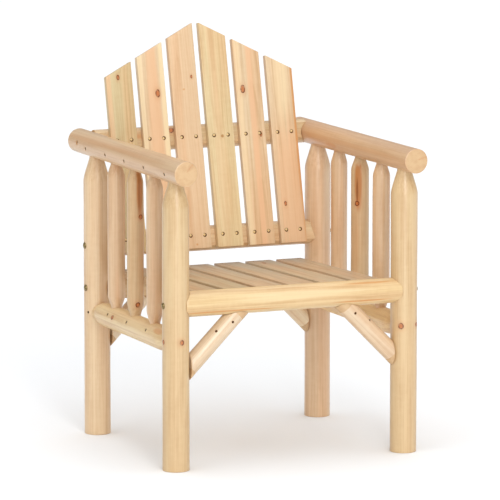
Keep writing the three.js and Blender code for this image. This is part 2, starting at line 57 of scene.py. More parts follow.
def middle(node):
    low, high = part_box(node)
    return (low + high) / 2


def reach(node):
    low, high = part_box(node)
    return (high - low) / 2


LEG = middle("front_leg_left")
LEG_X = LEG.x
FRONT_Y = LEG.y
REAR_Y = middle("rear_leg_left").y
LEG_RADIUS = reach("front_leg_left").x

ARM_Z = middle("arm_left").z
ARM_RADIUS = reach("arm_left").x
ARM_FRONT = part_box("arm_left")[0].y
ARM_LENGTH = 2 * reach("arm_left").y

SIDE_RAIL_Z = middle("side_rail_left").z
SIDE_RAIL_RADIUS = reach("side_rail_left").x
SPINDLE_ROWS = [middle(f"spindle_left_{number}").y for number in (1, 2, 3)]

FRONT_RAIL_Z = middle("front_seat_rail").z
FRONT_RAIL_RADIUS = reach("front_seat_rail").z
REAR_RAIL = middle("rear_seat_rail")
REAR_RAIL_RADIUS = reach("rear_seat_rail").z
LOWER_RAIL_Z = middle("lower_back_rail").z
LOWER_RAIL_RADIUS = reach("lower_back_rail").z
UPPER_RAIL_Z = middle("upper_back_rail").z
UPPER_RAIL_RADIUS = reach("upper_back_rail").z
UPPER_RAIL_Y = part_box("upper_back_rail")[1].y - UPPER_RAIL_RADIUS

SEAT_LOW, SEAT_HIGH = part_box("seat_slat_1")
SEAT_SLAT_WIDTH = SEAT_HIGH.x - SEAT_LOW.x
SEAT_HALF_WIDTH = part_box("seat_slat_6")[1].x
BACK_LOW, BACK_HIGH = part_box("back_slat_1")
BACK_SLAT_WIDTH = BACK_HIGH.x - BACK_LOW.x

# ---- Sizes of the joinery and of each board ----

GAP = 0.3 * MM
LEG_CONE = 50 * MM
LEG_NECK = 17.5 * MM
SPINDLE_CONE = 26 * MM
SPINDLE_NECK = 13 * MM
SIDE_RAIL_END_RADIUS = 19 * MM
SIDE_RAIL_NOSE = 56 * MM
BLUNT = 0.5  # a cope's points stop this share of the leg's radius from its axis
REAR_RAIL_END_RADIUS = 28 * MM
REAR_RAIL_END_LENGTH = 60 * MM
SAWN_EASE = 2 * MM
COPE_EASE = 1.5 * MM
SLAT_EASE = 1.3 * MM
SEAT_THICKNESS = 18 * MM
BACK_THICKNESS = 16 * MM
BACK_LEAN = math.radians(13.05)
BACK_TOP_PITCH = math.radians(27.4)
BACK_PEAK = 570.8 * MM
SEAT_NOTCH_MARGIN = 1.6 * MM
LEG_TENON_SHORT = 4 * MM
SPINDLE_FOOT_RISE = 10 * MM
SPINDLE_TOP_SHORT = 8 * MM
LEG_NAIL_TURN = math.radians(24)
ARM_NAIL_TILT = math.radians(12)
RAIL_NAIL_LIFT = math.radians(27)
BRACE_SCREWS = ((0.87, 0.0), (0.62, 0.75))  # how far up the brace, and how far turned to its corner
THIN_SIDES = 56
LOWER_FLAT = 7.2 * MM
UPPER_FLAT = 7 * MM
BOLT_SEAT_RADIUS = 9 * MM
BOLT_SEAT_DEPTH = 1.6 * MM
ARM_RECESS_RADIUS = 6 * MM
ARM_RECESS_DEPTH = 9 * MM


# ---- Shader nodes ----

class Socket:
    """A number that varies over a surface, with arithmetic that adds Math nodes."""

    def __init__(self, bench, link):
        self.bench = bench
        self.link = link

    def __add__(self, other):
        return self.bench.math("ADD", self, other)

    __radd__ = __add__

    def __sub__(self, other):
        return self.bench.math("SUBTRACT", self, other)

    def __rsub__(self, other):
        return self.bench.math("SUBTRACT", other, self)

    def __mul__(self, other):
        return self.bench.math("MULTIPLY", self, other)

    __rmul__ = __mul__

    def __truediv__(self, other):
        return self.bench.math("DIVIDE", self, other)

    def __rtruediv__(self, other):
        return self.bench.math("DIVIDE", other, self)


class Bench:
    """Where the nodes of one material are put together."""

    NAMES = {"specular_level": "Specular IOR Level"}

    def __init__(self, name):
        self.material = bpy.data.materials.new(name)
        self.material.use_nodes = True
        self.tree = self.material.node_tree
        self.shader = self.tree.nodes["Principled BSDF"]
        place = self.node("ShaderNodeTexCoord", output="Object")
        self.place = self.vector("SCALE", place, Scale=1 / MM)

    def node(self, kind, settings=(), inputs=(), output=0):
        made = self.tree.nodes.new(kind)
        for key, setting in dict(settings).items():
            setattr(made, key, setting)
        for key, given in dict(inputs).items():
            self.feed(made.inputs[key], given)
        return Socket(self, made.outputs[output])

    def feed(self, socket, given):
        if isinstance(given, Socket):
            self.tree.links.new(given.link, socket)
        else:
            socket.default_value = given

    def math(self, operation, *terms):
        return self.node("ShaderNodeMath", {"operation": operation}, enumerate(terms))

    def vector(self, operation, *terms, output=0, **named):
        inputs = {**dict(enumerate(terms)), **named}
        return self.node("ShaderNodeVectorMath", {"operation": operation}, inputs, output)

    def mix(self, factor, first, second):
        return self.node("ShaderNodeMix", {"data_type": "RGBA"}, {0: factor, 6: first, 7: second}, 2)

    def step(self, value, low, high, bottom=0.0, top=1.0):
        """Runs smoothly from bottom, where value is low, to top, where it is high."""
        inputs = {0: value, 1: low, 2: high, 3: bottom, 4: top}
        return self.node("ShaderNodeMapRange", {"interpolation_type": "SMOOTHSTEP"}, inputs)

    def clouds(self, stretch, seed, detail=2.0, output=0):
        """Noise whose patches are about as large as stretch, in millimetres."""
        sizes = tuple(1 / size for size in stretch)
        shift = (seed, 0.37 * seed, 0.71 * seed)
        scaled = self.vector("MULTIPLY_ADD", self.place, sizes, shift)
        inputs = {"Vector": scaled, "Scale": 1.0, "Detail": detail}
        return self.node("ShaderNodeTexNoise", {}, inputs, output)

    def away(self, centre, across, along):
        """How far a place lies from a mark in the wood; it is 1 at the mark's edge."""
        offset = self.vector("SUBTRACT", self.place, centre)
        offset = self.vector("MULTIPLY", offset, (1 / across, 1 / across, 1 / along))
        return self.vector("LENGTH", offset, output=1)

    def axis(self, vector, number):
        return self.node("ShaderNodeSeparateXYZ", {}, {0: vector}, number)

    def finish(self, **surface):
        for key, given in surface.items():
            socket = self.NAMES.get(key, key.replace("_", " ").title())
            self.feed(self.shader.inputs[socket], given)
        return self.material


def tone(red, green, blue):
    """A colour given as 0 to 255 on a display, for a shader."""
    parts = [channel / 255 for channel in (red, green, blue)]
    return (*[c / 12.92 if c <= 0.04045 else ((c + 0.055) / 1.055) ** 2.4 for c in parts], 1.0)


# ---- Wood ----

BASE = (224, 194, 148)
FLESH = (222, 170, 122)
HEART = (196, 112, 48)
KNOT = (184, 96, 36)
KNOT_RIM = (110, 46, 8)
END_PALE = (210, 176, 132)
END_DARK = (188, 142, 98)

# How large the wood's patches are across and along its grain, in millimetres.
BROAD = (34, 34, 480)
FLOW = (13, 13, 170)
BANDS = (5.5, 5.5, 340)
THREADS = (2.7, 2.7, 300)
FIBRE = (0.9, 0.9, 30)
MOTTLE = (24, 24, 11)
BLOTCH = (14, 14, 14)
KNOT_GRAIN = (6, 6, 9)
PITH_DRIFT = (1e6, 1e6, 330)
PITH_WANDER = 9

OILED = 0.3  # roughness of the smooth, clear-finished wood
LOG_POLISH = 0.75
SLAT_POLISH = 0.3


def deepened(colour, by):
    """The same wood colour with more latewood in it."""
    red, green, blue = colour
    return red * (1 - 0.45 * by), green * (1 - 0.8 * by), blue * (1 - 1.2 * by)


def round_the_pith(bench, seed, pith, slope):
    """Where a place lies across the grain, and how far from the pith, which wanders and slopes."""
    drift = bench.clouds(PITH_DRIFT, seed, 1.0, output=1)
    centre = (-PITH_WANDER / 2 - pith[0], -PITH_WANDER / 2 - pith[1], 0)
    drift = bench.vector("MULTIPLY_ADD", drift, (PITH_WANDER, PITH_WANDER, 0), centre)
    along = bench.axis(bench.place, 2)
    lean = bench.node("ShaderNodeCombineXYZ", {}, {0: along * slope[0], 1: along * slope[1]})
    section = bench.vector("ADD", bench.vector("ADD", bench.place, drift), lean)
    section = bench.vector("MULTIPLY", section, (1, 1, 0))
    ripple = bench.clouds((26, 26, 150), seed + 3.1, 2.0)
    return section, bench.vector("LENGTH", section, output=1) + (ripple - 0.5) * 3.2


def nearest_knot(bench, knots, tall):
    """How far the nearest knot is; it is 1 at the knot's edge."""
    nearest = None
    for x, y, z, size in knots:
        core_size = size / 1.1
        apart = bench.away((x, y, z), core_size, core_size * tall)
        nearest = apart if nearest is None else bench.math("MINIMUM", nearest, apart)
    return nearest


def knotted(bench, seed, nearest, mottle, colour):
    """The colour with its knots, and how far each place belongs to a knot's core and its rim."""
    edge = nearest + (mottle - 0.5) * 0.5
    halo = bench.math("EXPONENT", edge * edge * -0.35)
    core = bench.step(edge, 1.0, 0.5)
    broken = bench.step(bench.clouds(KNOT_GRAIN, seed + 17.3, 1.0), 0.4, 0.56)
    rim = bench.step(edge, 0.55, 0.85) * bench.step(edge, 1.25, 0.98) * (broken * 0.6 + 0.4)
    colour = bench.mix(halo * 0.4, colour, tone(*HEART))
    colour = bench.mix(core * 0.75, colour, tone(*KNOT))
    return bench.mix(rim, colour, tone(*KNOT_RIM)), core, rim


def end_grain(bench, seed, section, distance, late):
    """A sawn end's colour, and the drying check that opens from its pith."""
    angle = bench.math("ARCTAN2", bench.axis(section, 1), bench.axis(section, 0))
    turn = bench.math("ABSOLUTE", angle - ((seed * 1.7) % 4 - 2))
    check = bench.step(turn * distance, 2.2, 0.4) * bench.step(distance, 1.0, 5.0)
    wedge = bench.step(turn, 0.6, 0.1) * 0.25
    blotch = bench.step(bench.clouds(BLOTCH, seed + 19.1, 3.0), 0.35, 0.7, 0.0, 0.35)
    colour = bench.mix(late * 0.18 + wedge + blotch, tone(*END_PALE), tone(*END_DARK))
    return bench.mix(check * 0.25, colour, tone(*HEART)), check


def wood(name, seed, length, base=BASE, blush=0.35, pith=(2.5, 1.5), slope=(0.006, 0.0), rings=3.4,
         line=0.07, streak=0.6, knots=(), hearts=(), tall=1.1, polish=LOG_POLISH):
    """Peeled or sawn fir, with its grain along local Z; sizes are in millimetres.

    rings is how far apart the rings are. line, streak and blush are how strongly the rings, the
    streaks and the rosy patches show. A knot is (x, y, z, radius), drawn out along the grain by
    tall. A heart is (x, y, z, across, along, strength, colour), a patch with its own colour.
    """
    bench = Bench(name)
    section, distance = round_the_pith(bench, seed, pith, slope)
    nearest = nearest_knot(bench, knots, tall)
    if nearest is not None:
        spread = bench.math("EXPONENT", nearest * nearest * -0.25)
        distance = distance + spread * rings * 0.9

    ring = bench.math("FRACT", distance / rings)
    late = bench.step(ring, 0.45, 0.88) * bench.step(ring, 1.0, 0.92)
    broad = bench.clouds(BROAD, seed + 7.7, 1.5)
    bands = bench.clouds(BANDS, seed + 11.3, 2.5)
    fibre = bench.clouds(FIBRE, seed + 5.9, 3.0)
    mottle = bench.clouds(MOTTLE, seed + 13.9, 2.0)
    flow = bench.clouds(FLOW, seed + 23.7, 3.0)
    threads = bench.clouds(THREADS, seed + 29.3, 2.0)
    shade = late * bench.step(broad, 0.3, 0.7, 0.35, 1.0) * line + 0.12
    shade = shade + (bands - 0.5) * streak + (flow - 0.5) * streak * 1.3
    shade = shade + (threads - 0.5) * 0.6 + (fibre - 0.5) * 0.3 + (mottle - 0.5) * 0.2
    shade = bench.math("MINIMUM", bench.math("MAXIMUM", shade, 0.0), 1.0)

    rosy = bench.step(broad, 0.36, 0.68, 0.0, blush)
    colour = bench.mix(rosy, tone(*base), tone(*FLESH))
    colour = bench.mix(shade, colour, tone(*deepened(base, 0.42)))
    for x, y, z, across, lengthwise, strength, heart in hearts:
        apart = bench.away((x, y, z), across, lengthwise) + (bands - 0.5) * 0.9
        colour = bench.mix(bench.step(apart, 1.15, 0.5, 0.0, strength), colour, tone(*heart))

    relief = fibre * 0.5 + flow * 0.3
    rough = shade * 0.12 + (broad - 0.5) * 0.1 + OILED
    if nearest is not None:
        colour, core, rim = knotted(bench, seed, nearest, mottle, colour)
        relief = relief - rim * 0.4 + core * 0.2
        rough = rough + core * 0.3 + rim * 0.3

    along = bench.axis(bench.place, 2)
    low_end = bench.step(along, 0.35, 0.1)
    high_end = bench.step(along, length - 0.35, length - 0.1)
    sawn = bench.math("MAXIMUM", low_end, high_end)
    end_colour, check = end_grain(bench, seed, section, distance, late)
    colour = bench.mix(sawn, colour, end_colour)
    relief = relief - check * sawn * 0.7
    rough = rough + sawn * 0.3
    bump = bench.node("ShaderNodeBump", {}, {"Strength": 0.3, "Distance": 0.5 * MM, "Height": relief})
    return bench.finish(base_color=colour, roughness=rough, specular_level=polish, normal=bump)


# ---- Metal ----

def metal(name, seed, pale, dark, metallic, polish=0.5):
    """A plated or blackened fastener, or a dark disc of painted shade, with rubbed high spots and dull
    patches.
    """
    bench = Bench(name)
    patches = bench.clouds((2.6, 2.6, 2.6), seed, 3.0)
    grit = bench.clouds((0.35, 0.35, 0.35), seed + 4, 2.0)
    scratch = bench.clouds((0.3, 6.0, 6.0), seed + 9, 2.0)
    dull = bench.step(patches + (grit - 0.5) * 0.3, 0.38, 0.66)
    colour = bench.mix(dull, tone(*pale), tone(*dark))
    rough = 0.3 + dull * 0.22 + (scratch - 0.5) * 0.15
    bump = bench.node("ShaderNodeBump", {}, {"Strength": 0.25, "Distance": 0.1 * MM, "Height": grit})
    return bench.finish(base_color=colour, roughness=rough, metallic=metallic,
                        specular_level=polish, normal=bump)


BOLT_METAL = metal("bolt_zinc", 2.0, (168, 146, 96), (92, 76, 44), 0.5)
SCREW_METAL = metal("screw_zinc", 5.0, (240, 214, 160), (214, 184, 130), 0.0)
# Dark brown: the brace screws' heads, and the discs of painted shade that lie under the slat screws'
# heads.
DARK_HEAD_AND_SHADE_DISC_METAL = metal("dark_head_and_shade_disc", 6.0, (104, 64, 28), (70, 40, 16), 0.0, 0.1)
NAIL_METAL = metal("nail_steel", 8.0, (48, 32, 20), (26, 18, 12), 0.0, 0.15)


# ---- Meshes ----

SHARP_CORNER = math.radians(38)
CAP_SHARES = (0.12, 0.4, 0.7, 0.9, 1.0)


def home(origin, along, across):
    """A piece's own frame: local Z runs along it and local X across it."""
    z = Vector(along).normalized()
    x = (Vector(across) - z * Vector(across).dot(z)).normalized()
    y = z.cross(x)
    return Matrix.Translation(origin) @ Matrix((x, y, z)).transposed().to_4x4()


def add_piece(name, mesh, place, material, slot, *nodes):
    mesh.shade_smooth()
    mesh.set_sharp_from_angle(angle=SHARP_CORNER)
    piece = bpy.data.objects.new(name, mesh)
    bpy.context.scene.collection.objects.link(piece)
    piece.matrix_world = place
    mesh.materials.append(material)
    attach(piece, BODY)
    if nodes:
        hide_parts(*nodes)
    return piece


def loft(name, rings):
    """A closed skin over rings of equal count; the first and last ring close onto a point."""
    count = len(rings[0])
    points = [rings[0].mean(0)]
    for ring in rings:
        points.extend(ring)
    points.append(rings[-1].mean(0))
    last = len(points) - 1
    faces = []
    for j in range(count):
        k = (j + 1) % count
        faces.append((0, 1 + k, 1 + j))
        for i in range(len(rings) - 1):
            a = 1 + i * count
            b = a + count
            faces.append((a + j, a + k, b + k, b + j))
        a = 1 + (len(rings) - 1) * count
        faces.append((last, a + j, a + k))
    mesh = bpy.data.meshes.new(name)
    mesh.from_pydata([tuple(p) for p in points], [], faces)
    return mesh


def unevenness(seed, swell):
    """How far a peeled log strays from a true round, by place along it and angle."""
    def stray(along, angles):
        found = []
        for angle in angles:
            x, y = math.cos(angle), math.sin(angle)
            slow = noise.noise(Vector((x * 0.9 + seed, y * 0.9, along / 0.16)))
            fast = noise.noise(Vector((x * 2.4 + seed, y * 2.4, along / 0.045)))
            found.append(swell * (slow + 0.35 * fast))
        return np.array(found)
    return stray


def swelling(knots, radius):
    """The slight rise of a log's skin round each knot, as (angle, along, size)."""
    def rise(along, angles):
        total = np.zeros(len(angles))
        for x, y, z, size in knots:
            turn = np.angle(np.exp(1j * (angles - math.atan2(y, x)))) * radius
            apart = (turn ** 2 + (along - z * MM) ** 2) / (2.2 * size * MM) ** 2
            total += 0.9 * MM * np.exp(-apart)
        return total
    return rise


def log_rings(radius_at, stations, low_cut, high_cut, ease, seed, knots=(), extra_angles=(),
              sides=72, swell=0.45):
    """Rings of a log. radius_at(along, angles) is its true shape, and each cut gives how far along
    the log its lines end."""
    angles = np.linspace(0, 2 * math.pi, sides, endpoint=False)
    angles = np.unique(np.concatenate([angles, np.mod(extra_angles, 2 * math.pi)]))
    cos, sin = np.cos(angles), np.sin(angles)
    stray = unevenness(seed, swell * MM)
    rise = swelling(knots, float(np.max(radius_at(stations[0], angles))))

    def skin(along):
        return radius_at(along, angles) + stray(along, angles) + rise(along, angles)

    def ring(radii, along):
        x, y = radii * cos, radii * sin
        z = along(x, y) if callable(along) else np.full(len(x), along)
        return np.stack([x, y, z], 1)

    def capped(cut, station, inward):
        full = skin(station)
        rings = [ring((full - ease) * share, cut) for share in CAP_SHARES]
        edge = ring(full, cut)
        edge[:, 2] += inward * ease
        knee = ring(full - ease * 0.3, cut)
        knee[:, 2] += inward * ease * 0.3
        rings.extend([knee, edge])
        for share in (0.33, 0.66):
            near = ring(skin(station), cut)
            near[:, 2] = near[:, 2] * (1 - share) + station * share
            rings.append(near)
        return rings

    body = [ring(skin(station), station) for station in stations]
    low = capped(low_cut, stations[0], 1)
    high = capped(high_cut, stations[-1], -1)
    return low + body + high[::-1]


def flat_cut(along):
    return lambda x, y: np.full(len(x), along)


def even_stations(low, high, pitch=12 * MM):
    return np.linspace(low, high, max(2, round((high - low) / pitch)))


def cone_profile(full, neck, start, height):
    """Where a post is shaved to a cone: a rounded shoulder, then straight to its neck."""
    shoulder = min(height * 0.3, full - neck)
    slope = (full - neck) / height
    first = np.array([start - shoulder * 0.6, full])
    knee = np.array([start, full])
    last = np.array([start + shoulder, full - slope * shoulder])
    shares = np.linspace(0, 1, 7)[:, None]
    bend = first * (1 - shares) ** 2 + 2 * knee * shares * (1 - shares) + last * shares ** 2
    return np.vstack([bend, [start + height, neck]])


def nose_profile(full, end, length):
    """The rounded nose of a rail, from its end inwards."""
    first, knee, last = np.array([0, end]), np.array([length * 0.3, full]), np.array([length, full])
    shares = np.linspace(0, 1, 9)[:, None]
    return first * (1 - shares) ** 2 + 2 * knee * shares * (1 - shares) + last * shares ** 2


def round_profile(table):
    """A radius that follows a list of (along, radius)."""
    table = np.array(table)
    return lambda along, angles: np.full(len(angles), np.interp(along, table[:, 0], table[:, 1]))


def even_profile(radius):
    """The profile of a log that is equally thick all along."""
    return lambda along, angles: np.full(len(angles), radius)


CUTTER_PROUD = 5 * MM  # how far a cutter stands out of the skin it cuts
CUTTER_SIDES = 24


def disc_cutter(radius, depth):
    """A slightly tapered plug that sinks a hole below the origin, along -Z."""
    bm = bmesh.new()
    place = Matrix.Translation((0, 0, (CUTTER_PROUD - depth) / 2))
    bmesh.ops.create_cone(bm, cap_ends=True, segments=CUTTER_SIDES, radius1=radius * 0.96,
                          radius2=radius * 1.05, depth=depth + CUTTER_PROUD, matrix=place)
    return bm


def sink_holes(mesh, place, holes):
    """Cuts holes, each given as (where it is, radius, depth), out of a piece that stands at place."""
    if not holes:
        return mesh
    whole = bmesh.new()
    inverse = place.inverted()
    for spot, radius, depth in holes:
        plug = disc_cutter(radius, depth)
        bmesh.ops.transform(plug, matrix=inverse @ spot, verts=plug.verts)
        scrap = bpy.data.meshes.new("plug")
        plug.to_mesh(scrap)
        plug.free()
        whole.from_mesh(scrap)
        bpy.data.meshes.remove(scrap)
    plugs = bpy.data.meshes.new("plugs")
    whole.to_mesh(plugs)
    whole.free()
    body = bpy.data.objects.new("body", mesh)
    cutter = bpy.data.objects.new("cutter", plugs)
    for thing in (body, cutter):
        bpy.context.scene.collection.objects.link(thing)
    cut = body.modifiers.new("holes", "BOOLEAN")
    cut.operation = "DIFFERENCE"
    cut.solver = "EXACT"
    cut.object = cutter
    bpy.context.view_layer.update()
    graph = bpy.context.evaluated_depsgraph_get()
    made = bpy.data.meshes.new_from_object(body.evaluated_get(graph))
    for thing in (body, cutter):
        bpy.data.objects.remove(thing)
    return made


# ---- Fasteners ----

def turned_mesh(name, outline, sides=32):
    """A small turned part from a list of (radius, height), first and last on the axis."""
    angles = np.linspace(0, 2 * math.pi, sides, endpoint=False)
    cos, sin = np.cos(angles), np.sin(angles)
    rings = [np.stack([r * cos, r * sin, np.full(sides, h)], 1) for r, h in outline]
    return loft(name, rings)


HEAD_SHARES = (1.0, 1.0, 0.97, 0.9, 0.8, 0.68, 0.56, 0.46, 0.38, 0.3, 0.2, 0.08)
HEAD_SKIRT = 1.5 * MM  # how far a head's wall goes down below its seat


def pressed_head(radius, height, recess, sides=48):
    """A domed head with a cross recess, round local Z, standing on z = 0."""
    angles = np.linspace(0, 2 * math.pi, sides, endpoint=False)
    rings = []
    for share in HEAD_SHARES:
        x, y = radius * share * np.cos(angles), radius * share * np.sin(angles)
        dome = height * (1 - share ** 2.4) ** 0.6 if rings else -HEAD_SKIRT
        off_arm = np.minimum(np.abs(x), np.abs(y))
        in_arm = np.clip((recess * 0.26 - off_arm) / (0.12 * recess), 0, 1)
        in_reach = np.clip((recess - radius * share) / (0.2 * recess), 0, 1)
        rings.append(np.stack([x, y, dome - in_arm * in_reach * height * 0.75], 1))
    return rings


def head_group(name, rings, places, material, slot_name):
    """One piece that holds several heads of the same kind."""
    bm = bmesh.new()
    single = loft(name + "_single", rings)
    for place in places:
        copy = single.copy()
        copy.transform(place)
        bm.from_mesh(copy)
        bpy.data.meshes.remove(copy)
    bpy.data.meshes.remove(single)
    bmesh.ops.recalc_face_normals(bm, faces=bm.faces)
    mesh = bpy.data.meshes.new(name)
    bm.to_mesh(mesh)
    bm.free()
    return add_piece(name, mesh, Matrix.Identity(4), material, slot_name)


SCREW_HEAD = pressed_head(3.2 * MM, 1.2 * MM, 2.0 * MM)
# Below: a flat dark disc of painted shade, laid in each slat screw's hole under its head; the head
# leans to one side of it, so the shade shows as a crescent.
SCREW_SHADE_DISC = pressed_head(4.9 * MM, 0.2 * MM, 1.0 * MM, 32)
NAIL_HEAD = pressed_head(4.0 * MM, 0.6 * MM, 0.6 * MM, 24)
SMALL_HEAD = pressed_head(3.2 * MM, 0.8 * MM, 1.8 * MM, 32)
SMALL_HOLE = (3.4 * MM, 3 * MM)
SMALL_HEAD_DROP = 2.2 * MM
ARM_NAIL_HOLE = (4.7 * MM, 2.6 * MM)
ARM_NAIL_DROP = 1.7 * MM
RAIL_NAIL_HOLE = (4.4 * MM, 2.4 * MM)
RAIL_NAIL_DROP = 1.5 * MM
SLAT_SCREW_HOLE = (5.1 * MM, 2.2 * MM)
SLAT_SCREW_DROP = 1.2 * MM
# How deep the disc of painted shade lies in the screw's hole.
SLAT_SHADE_DISC_DROP = 1.3 * MM
SLAT_SCREW_LEAN = 1.2 * MM  # how far a screw's head sits to one side of its hole


def facing(point, outward, spin=0.0):
    """Where a head stands: local Z points outward from point."""
    turn = Vector(outward).normalized().to_track_quat("Z", "Y").to_matrix().to_4x4()
    return Matrix.Translation(point) @ turn @ Matrix.Rotation(spin, 4, "Z")


def sunk(places, drop):
    """The places, each lowered into its hole."""
    return [place @ Matrix.Translation((0, 0, -drop)) for place in places]


# ---- Looks of the single pieces ----

# Each mark is placed on its own piece. On logs a knot is (angle in degrees, along, size);
# on slats it is (across, along, size). A heart is placed alike, with its sizes across and along,
# its strength and its colour.
CREAM = (240, 218, 176)
PINK = (230, 186, 146)
AMBER = (204, 134, 66)
UMBER = (112, 54, 12)
TAN = (206, 156, 110)
PALE_WOOD = (224, 202, 171)
ROSY_WOOD = (218, 186, 148)
DULL_WOOD = (206, 176, 136)
SEAT_WOOD = (204, 187, 158)
BACK_WOOD = (223, 199, 164)
LOOKS = {
    "front_leg_right": {"base": (212, 184, 139), "blush": 0.1,
                        "knots": [(-86, 314, 6.5), (-176, 313, 5)]},
    "front_leg_left": {"base": (214, 185, 140), "blush": 0.1,
                       "knots": [(-127, 315, 7), (-48, 316, 5)]},
    "front_brace_right": {"base": PALE_WOOD},
    "front_brace_left": {"base": PALE_WOOD},
    # The rear braces get a paler base than the front braces: painted light that offsets the shade they
    # stand in.
    "rear_brace_right": {"base": (240, 222, 192)},
    "rear_brace_left": {"base": (240, 220, 186)},
    "rear_leg_right": {"base": (225, 197, 158), "blush": 0.3},
    "rear_leg_left": {"base": (226, 196, 160), "blush": 0.4},
    "spindle_right_1": {"base": ROSY_WOOD, "blush": 0.5},
    "spindle_right_2": {"base": DULL_WOOD, "polish": 0.35, "knots": [(-72, 262, 6), (-95, 46, 6)],
                        "hearts": [(-76, 335, 11, 78, 0.95, (178, 112, 54)),
                                   (-84, 318, 3, 60, 0.3, UMBER),
                                   (-60, 150, 12, 120, 0.4, TAN)]},
    "spindle_right_3": {"base": ROSY_WOOD, "blush": 0.5},
    "spindle_left_1": {"base": ROSY_WOOD, "blush": 0.4},
    "spindle_left_2": {"base": DULL_WOOD, "polish": 0.35, "knots": [(-134, 262, 6)],
                       "hearts": [(-126, 310, 11, 74, 0.9, (182, 116, 56)),
                                  (-133, 292, 3, 36, 0.6, UMBER),
                                  (-150, 150, 12, 120, 0.4, TAN)]},
    "spindle_left_3": {"base": ROSY_WOOD, "blush": 0.5},
    "side_rail_right": {"base": (228, 202, 154), "knots": [(-68, 341, 6)],
                        "hearts": [(-45, 61, 10, 26, 0.6, AMBER)], "streak": 0.8},
    # A paler base than the right side rail's: painted light that offsets the shade this rail stands in.
    "side_rail_left": {"base": (244, 212, 159)},
    "front_seat_rail": {"base": (226, 198, 148), "rings": 9.0, "line": 0.3, "pith": (-6, 5),
                        "blush": 0.15,
                        "hearts": [(128, 130, 3, 150, 0.7, AMBER), (122, 470, 3, 90, 0.8, AMBER),
                                   (35, 500, 4, 70, 0.6, AMBER), (70, 300, 12, 200, 0.4, CREAM)]},
    "lower_back_rail": {"base": (228, 202, 161)},
    "upper_back_rail": {"base": (214, 190, 148), "knots": [(43, 200, 7)],
                        "hearts": [(66, 108, 10, 30, 0.6, AMBER)]},
    "arm_right": {"base": (212, 182, 144), "hearts": [(-58, 430, 8, 340, 0.5, TAN)]},
    "arm_left": {"base": (212, 176, 138),
                 "hearts": [(-111, 438, 8, 34, 0.5, AMBER), (-86, 330, 8, 380, 0.5, TAN)]},
    "back_slat_1": {"base": (209, 192, 150), "knots": [(-3, 438, 4)],
                    "hearts": [(-30, 300, 9, 500, 0.5, PINK)]},
    "back_slat_2": {"knots": [(13, 393, 6)],
                    "hearts": [(29, 300, 9, 900, 0.7, CREAM), (-30, 300, 8, 900, 0.5, CREAM),
                               (2, 300, 18, 700, 0.7, PINK)]},
    "back_slat_3": {"knots": [(20, 431, 2.6)],
                    "hearts": [(0, 300, 40, 900, 0.3, PINK), (-3, 400, 4, 2.5, 0.5, AMBER),
                               (-4, 10, 3, 3, 0.6, AMBER)]},
    "back_slat_4": {"base": (223, 203, 160),
                    "hearts": [(-8, 250, 13, 600, 0.2, PINK), (3, 278, 4.5, 4.5, 0.8, (170, 118, 58))]},
    "back_slat_5": {"knots": [(-17, 393, 6), (21, 277, 3.5)],
                    "hearts": [(-26, 300, 9, 700, 0.5, CREAM), (6, 260, 10, 700, 0.75, PINK)]},
    "back_slat_6": {"knots": [(-15, 99, 3.5)],
                    "hearts": [(0, 420, 22, 160, 0.5, CREAM), (8, 100, 40, 240, 0.6, PINK),
                               (33, 330, 7, 400, 0.7, AMBER)]},
    # Slats 1 and 2 get a darker base than the other seat slats: painted shade, for the shadow that the
    # right arm and front right leg cast on them.
    "seat_slat_1": {"base": (199, 180, 146)},
    "seat_slat_2": {"base": (198, 178, 144)},
    "seat_slat_5": {"base": (206, 190, 160), "knots": [(-6, 434, 5)]},
}


def log_marks(marks, radius):
    """Marks given as (angle in degrees, along, sizes...) turned to points on the log's skin."""
    placed = []
    for angle, along, *sizes in marks:
        turn = math.radians(angle)
        placed.append((radius / MM * math.cos(turn), radius / MM * math.sin(turn), along, *sizes))
    return placed


def slat_marks(marks):
    """Marks given as (across, along, sizes...) turned to points on the slat's face."""
    return [(across, 0.0, along, *sizes) for across, along, *sizes in marks]


def piece_wood(name, seed, length, radius=None):
    """The wood of one named piece, and its knots. Only a log has a radius."""
    given = dict(LOOKS.get(name, {}))
    place_marks = slat_marks if radius is None else lambda marks: log_marks(marks, radius)
    if radius is None:
        flat_sawn = {"pith": (14 * math.sin(seed), 42), "slope": (0.01, 0.02 * math.cos(seed)),
                     "rings": 5.5, "line": 0.24, "streak": 0.34, "blush": 0.4, "tall": 1.7,
                     "polish": SLAT_POLISH}
        shade = SEAT_WOOD if name.startswith("seat") else BACK_WOOD
        given = {**flat_sawn, "base": shade, **given}
    knots = place_marks(given.pop("knots", ()))
    hearts = place_marks(given.pop("hearts", ()))
    return wood(name + "_wood", seed, length / MM, knots=knots, hearts=hearts, **given), knots


# ---- Logs ----

def make_log(name, seed, place, length, radius_at, stations, low_cut, high_cut, ease, slot_name,
             holes=(), extra_angles=(), sides=72, swell=0.45):
    radius = float(np.max(radius_at(stations[len(stations) // 2], np.zeros(1))))
    material, knots = piece_wood(name, seed, length, radius)
    rings = log_rings(radius_at, stations, low_cut, high_cut, ease, seed, knots, extra_angles,
                      sides, swell)
    mesh = sink_holes(loft(name, rings), place, holes)
    return add_piece(name + "_log", mesh, place, material, slot_name, name)


def bolt_holes(leg_end, side_sign):
    """The spots that are faced flat into a leg for its bolt heads."""
    rails = ["front_seat_rail"] if leg_end == "front" else ["rear_seat_rail", "lower_back_rail"]
    side = "right" if side_sign < 0 else "left"
    holes = []
    for rail in rails:
        centre = middle(f"{rail}_bolt_{side}")
        face = Vector((side_sign * (LEG_X + LEG_RADIUS), centre.y, centre.z))
        holes.append((facing(face, (side_sign, 0, 0)), BOLT_SEAT_RADIUS, BOLT_SEAT_DEPTH))
    return holes


def leg_nail_place(end_sign, side_sign, y):
    """Where a nail goes through the leg into the side rail's tenon."""
    outward = Vector((side_sign * math.cos(LEG_NAIL_TURN), -end_sign * math.sin(LEG_NAIL_TURN), 0))
    return facing(Vector((side_sign * LEG_X, y, SIDE_RAIL_Z)) + outward * LEG_RADIUS, outward)


